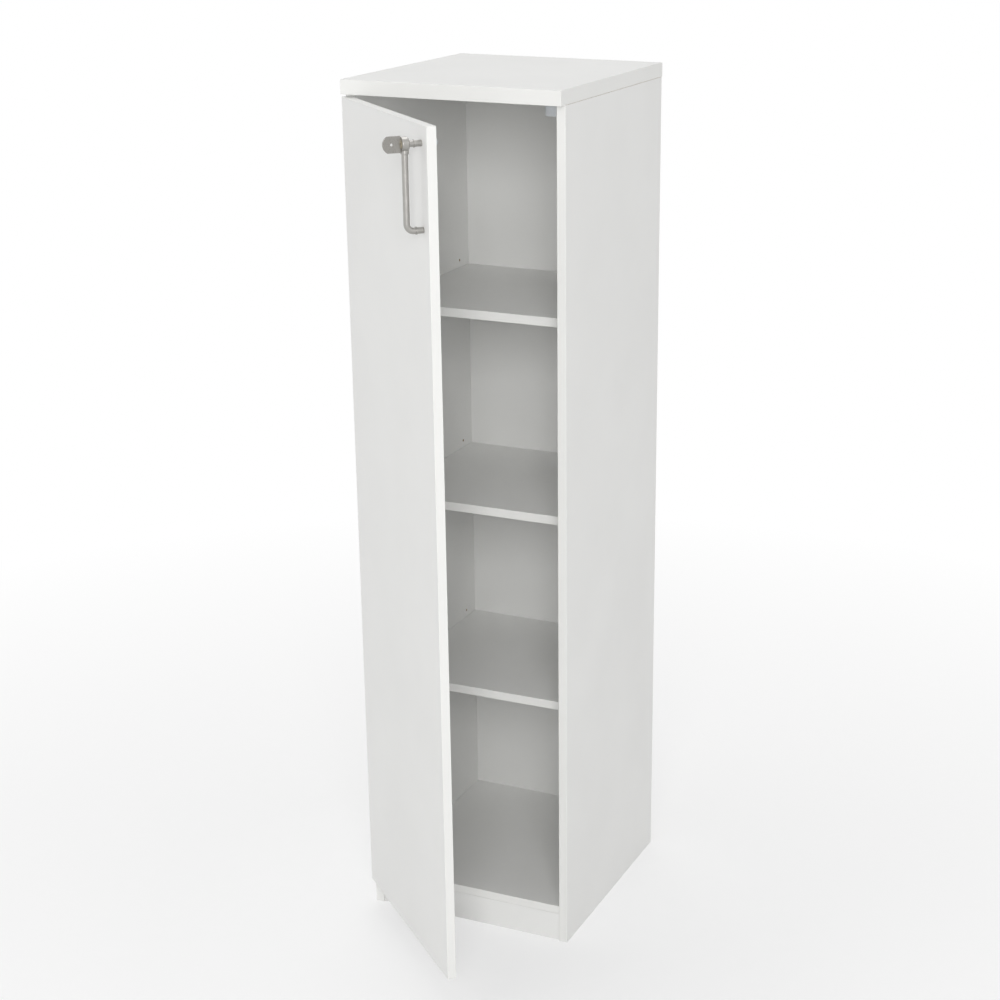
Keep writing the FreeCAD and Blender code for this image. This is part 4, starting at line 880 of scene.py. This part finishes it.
# %% Shelf pins
SHELF_TOPS, SHELF_THICK = (452.5, 807.5, 1162.5), 16
PEG_RADIUS, PEG_IN, PEG_OUT, PEG_DROP, PEG_LINES = 2.45, 9, 8, 2.55, (120, 398)
COLLAR_RADIUS, COLLAR_THICK, COLLAR_EDGE, PEG_EDGE = 3.5, 0.4, 0.15, 0.5
peg = rod(PEG_RADIUS, -PEG_IN, PEG_OUT, 32)
round_off(peg, PEG_EDGE, steps=3)
collar = rod(COLLAR_RADIUS, 0, COLLAR_THICK, 40)
round_off(collar, COLLAR_EDGE)
combine_solids(peg, collar, "UNION")
peg_places = [ON_CARCASS @ at(x, y, top - SHELF_THICK - PEG_DROP, turn) for top in SHELF_TOPS
              for y in PEG_LINES for x, turn in ((INNER_LEFT, RIGHTWARD), (INNER_RIGHT, LEFTWARD))]
deliver(copies(peg, peg_places), "collared_shelf_pins", "shelf_pins")

# %% [markdown]
# ## Cam housings
# A cam housing is a cast drum that pulls a bolt tight when it is turned. A rim is left standing round its
# face, the face gets a deep cross for the screwdriver, and a bore in its side takes the bolt's head.

# %% Cam housings
DRUM_RADIUS, DRUM_LONG, DRUM_RIM, FACE_DEEP = 7.5, 12.5, 1.0, 0.5
CROSS_REACH, CROSS_HALF, CROSS_DEEP = 5.2, 0.9, 3.2
BOLT_BORE, BOLT_LEVEL, CAST_EDGE = 3.7, 8, 0.15
drum = rod(DRUM_RADIUS, 0, DRUM_LONG)
pick(drum, "FACE", lambda middle, normal: normal.z < -0.9)
bpy.ops.mesh.inset(thickness=DRUM_RIM)
extrude((0, 0, FACE_DEEP))
done()
for across, along in ((CROSS_REACH, CROSS_HALF), (CROSS_HALF, CROSS_REACH)):
    combine_solids(drum, block((-across, -along, -1), (across, along, CROSS_DEEP)))
bolt_bore = rod(BOLT_BORE, 0, DRUM_RADIUS + 1.5, 48)
bolt_bore.data.transform(at(0, 0, BOLT_LEVEL, RIGHTWARD))
combine_solids(drum, bolt_bore)
round_off(drum, CAST_EDGE, steps=1)
TURNED = Matrix.Rotation(math.radians(180), 4, "Z")
BOTTOM_CAM_LEVEL, CAM_INSET = 54, 34
drum_places = []
for y in FITTING_PLACES:
    drum_places.append(ON_CARCASS @ at(INNER_LEFT + CAM_INSET, y, BOTTOM_CAM_LEVEL, TURNED))
    drum_places.append(ON_CARCASS @ at(INNER_RIGHT - CAM_INSET, y, BOTTOM_CAM_LEVEL))
    drum_places.append(ON_CARCASS @ at(INNER_LEFT, y, TOP_CAM_LEVEL, LEFTWARD))
    drum_places.append(ON_CARCASS @ at(INNER_RIGHT, y, TOP_CAM_LEVEL, RIGHTWARD @ TURNED))
deliver(copies(drum, drum_places), "cast_cam_housings", "cam_housings")

# %% [markdown]
# ## Pressed and turned metal
# The hinge's plates and cups, the strike plate and the lock's small parts already have their true outline
# in the CAD model, but its edges are knife sharp. Pressed steel has soft ones, and these are what the eye
# sees on such parts. So each is a copy of the CAD solid: doubled points are merged, flat triangles are
# dissolved, and a bevel rounds the rest.


# %% Softened parts
def twin_of(node, name):
    """A copy of a CAD solid with clean, flat faces, ready to be worked on."""
    begin()
    piece = bpy.data.objects.new(name, frame["nodes"][node].data.copy())
    bpy.context.scene.collection.objects.link(piece)
    only(piece)
    bpy.ops.object.mode_set(mode="EDIT")
    bpy.ops.mesh.select_all(action="SELECT")
    bpy.ops.mesh.remove_doubles(threshold=1e-6)
    bpy.ops.mesh.dissolve_limited(angle_limit=math.radians(1))
    done()
    return piece


def soften(node, name, width):
    """A copy of a CAD solid whose edges are rounded by a width in metres."""
    piece = twin_of(node, name)
    round_off(piece, width, clamp=False)
    deliver(piece, name, node)


soften("hinge_mounting_plates", "pressed_mounting_plates", 0.0005)
soften("hinge_arms", "pressed_hinge_arms", 0.0003)
soften("hinge_arm_pins", "riveted_arm_pins", 0.0002)
soften("hinge_outer_links", "pressed_outer_links", 0.0003)
soften("hinge_inner_links", "pressed_inner_links", 0.0003)
soften("hinge_cups", "pressed_hinge_cups", 0.00025)
soften("hinge_cup_pins", "rounded_cup_pins", 0.0002)
soften("lock_strike_plate", "pressed_strike_plate", 0.0004)
soften("lock_cam", "pressed_lock_cam", 0.0003)
soften("lock_nut", "chamfered_lock_nut", 0.0004)
soften("lock_core", "turned_lock_core", 0.0002)

# %% [markdown]
# ## Thin edge bands
# The sides, the bottom and the shelves have a band of 1 mm plastic on their front edge. After it is glued
# on, a cutter rounds its two front corners, and a fine shadow then runs along each joint. Only the edges
# of the front face are rounded here, because the band's other side is glued flat to the board. The thick
# bands are round in the CAD model.

# %% Rounded bands
BAND_ROUND = 0.0007  # metres


def round_front(node, name):
    """A copy of a thin band with the edges of its front face rounded."""
    piece = twin_of(node, name)
    front = min(point.co.y for point in piece.data.vertices)
    pick(piece, "EDGE", lambda p: p.y < front + 1e-5)
    bpy.ops.mesh.bevel(offset=BAND_ROUND, segments=4)
    done()
    deliver(piece, name, node)


for board in ("left_side", "right_side", "bottom"):
    round_front(board + "_edge_band", "rounded_%s_band" % board)
round_front("shelf_edge_bands", "rounded_shelf_bands")

# %% [markdown]
# ## The room
# The drawing has a plain white ground. A pale floor keeps the cabinet's soft shadow near it, and fades
# into pure white further out. That fade is for what the camera sees, directly, in a reflection or through
# something clear: as a source of light the floor stays a pale floor.


# %% Floor
FADE_FROM, FADE_TO = 0.6, 2.4  # metres from the cabinet's foot
DUST_DARK, DUST_PALE = (0.86, 0.86, 0.86), (0.88, 0.88, 0.88)


def seen_by_eye(tree):
    """1 for rays that reach the camera directly, off a shiny thing or through a clear one."""
    path = tree.nodes.new("ShaderNodeLightPath")
    direct = combine(tree, "MAXIMUM", path.outputs["Is Camera Ray"], path.outputs["Is Glossy Ray"])
    return combine(tree, "MAXIMUM", direct, path.outputs["Is Transmission Ray"])


def floor_finish():
    finish, tree, shader = new_finish("pale_floor")
    dust = speckle(tree, where(tree), scale=30, detail=3)
    feed(tree, blend_colours(tree, dust, DUST_DARK, DUST_PALE), shader.inputs["Base Color"])
    feed(tree, spread(tree, dust, FULL_RANGE, (0.85, 0.95)), shader.inputs["Roughness"])
    glow = tree.nodes.new("ShaderNodeEmission")
    away = tree.nodes.new("ShaderNodeVectorMath")
    away.operation = "LENGTH"
    feed(tree, where(tree), away.inputs[0])
    fade = spread(tree, away.outputs["Value"], (FADE_FROM, FADE_TO), (0.5, 1.0))
    share = combine(tree, "MULTIPLY", fade, seen_by_eye(tree))
    mix = tree.nodes.new("ShaderNodeMixShader")
    feed(tree, share, mix.inputs[0])
    feed(tree, shader.outputs[0], mix.inputs[1])
    feed(tree, glow.outputs[0], mix.inputs[2])
    feed(tree, mix.outputs[0], tree.nodes["Material Output"].inputs["Surface"])
    return finish


begin()
bpy.ops.mesh.primitive_plane_add(size=120)
floor = bpy.context.object
floor.name = "pale_floor"
floor.data.materials.append(floor_finish())
print("Floor:", floor.dimensions.x, "m wide")

# %% [markdown]
# ## Sky and lamps
# The sky is white for the camera too, and weaker as a lamp. Five broad lamps give the boards their shape:
# the one in front stands behind the camera, so it shines into the compartments where the camera looks
# into them. The others light the open door, the right side, the top and the rear. The rear one is lower
# than the top, or it would mirror in it. Their power was set so that a white board renders about as white
# as its colour is written.

# %% Sky and lamps
SKY_AS_LAMP, SKY_SEEN = 0.41, 1.0
sky = bpy.data.worlds.new("white_sky")
bpy.context.scene.world = sky
sky.use_nodes = True
tree = sky.node_tree
ground = tree.nodes["Background"]
ground.inputs["Color"].default_value = (1, 1, 1, 1)
feed(tree, spread(tree, seen_by_eye(tree), FULL_RANGE, (SKY_AS_LAMP, SKY_SEEN)), ground.inputs["Strength"])


def lamp(name, place, target, size, power):
    """A broad lamp that looks at a target. Power is in watts, and the camera doesn't see the lamp itself."""
    light = bpy.data.lights.new(name, "AREA")
    light.shape = "RECTANGLE"
    light.size, light.size_y = size
    light.energy = power
    thing = bpy.data.objects.new(name, light)
    thing.location = place
    thing.rotation_euler = (Vector(target) - Vector(place)).to_track_quat("-Z", "Y").to_euler()
    thing.visible_camera = False
    bpy.context.scene.collection.objects.link(thing)


lamp("front_lamp", place=(2.2, -4.6, 2.7), target=(0, 0, 0.8), size=(2.2, 2.2), power=148)
lamp("left_lamp", place=(-3.9, -2.6, 3.6), target=(0, 0, 0.8), size=(3.6, 3.6), power=46)
lamp("right_lamp", place=(5.0, 0.6, 3.0), target=(0, 0.2, 0.8), size=(3.6, 3.6), power=27)
lamp("top_lamp", place=(-0.8, 1.6, 5.2), target=(0, 0.2, 1.5), size=(3.0, 3.0), power=50)
lamp("rear_lamp", place=(-2.4, 4.4, 0.9), target=(0, 0.2, 0.8), size=(3.6, 1.4), power=48)
print("Lamps:", ", ".join(light.name for light in bpy.data.lights))
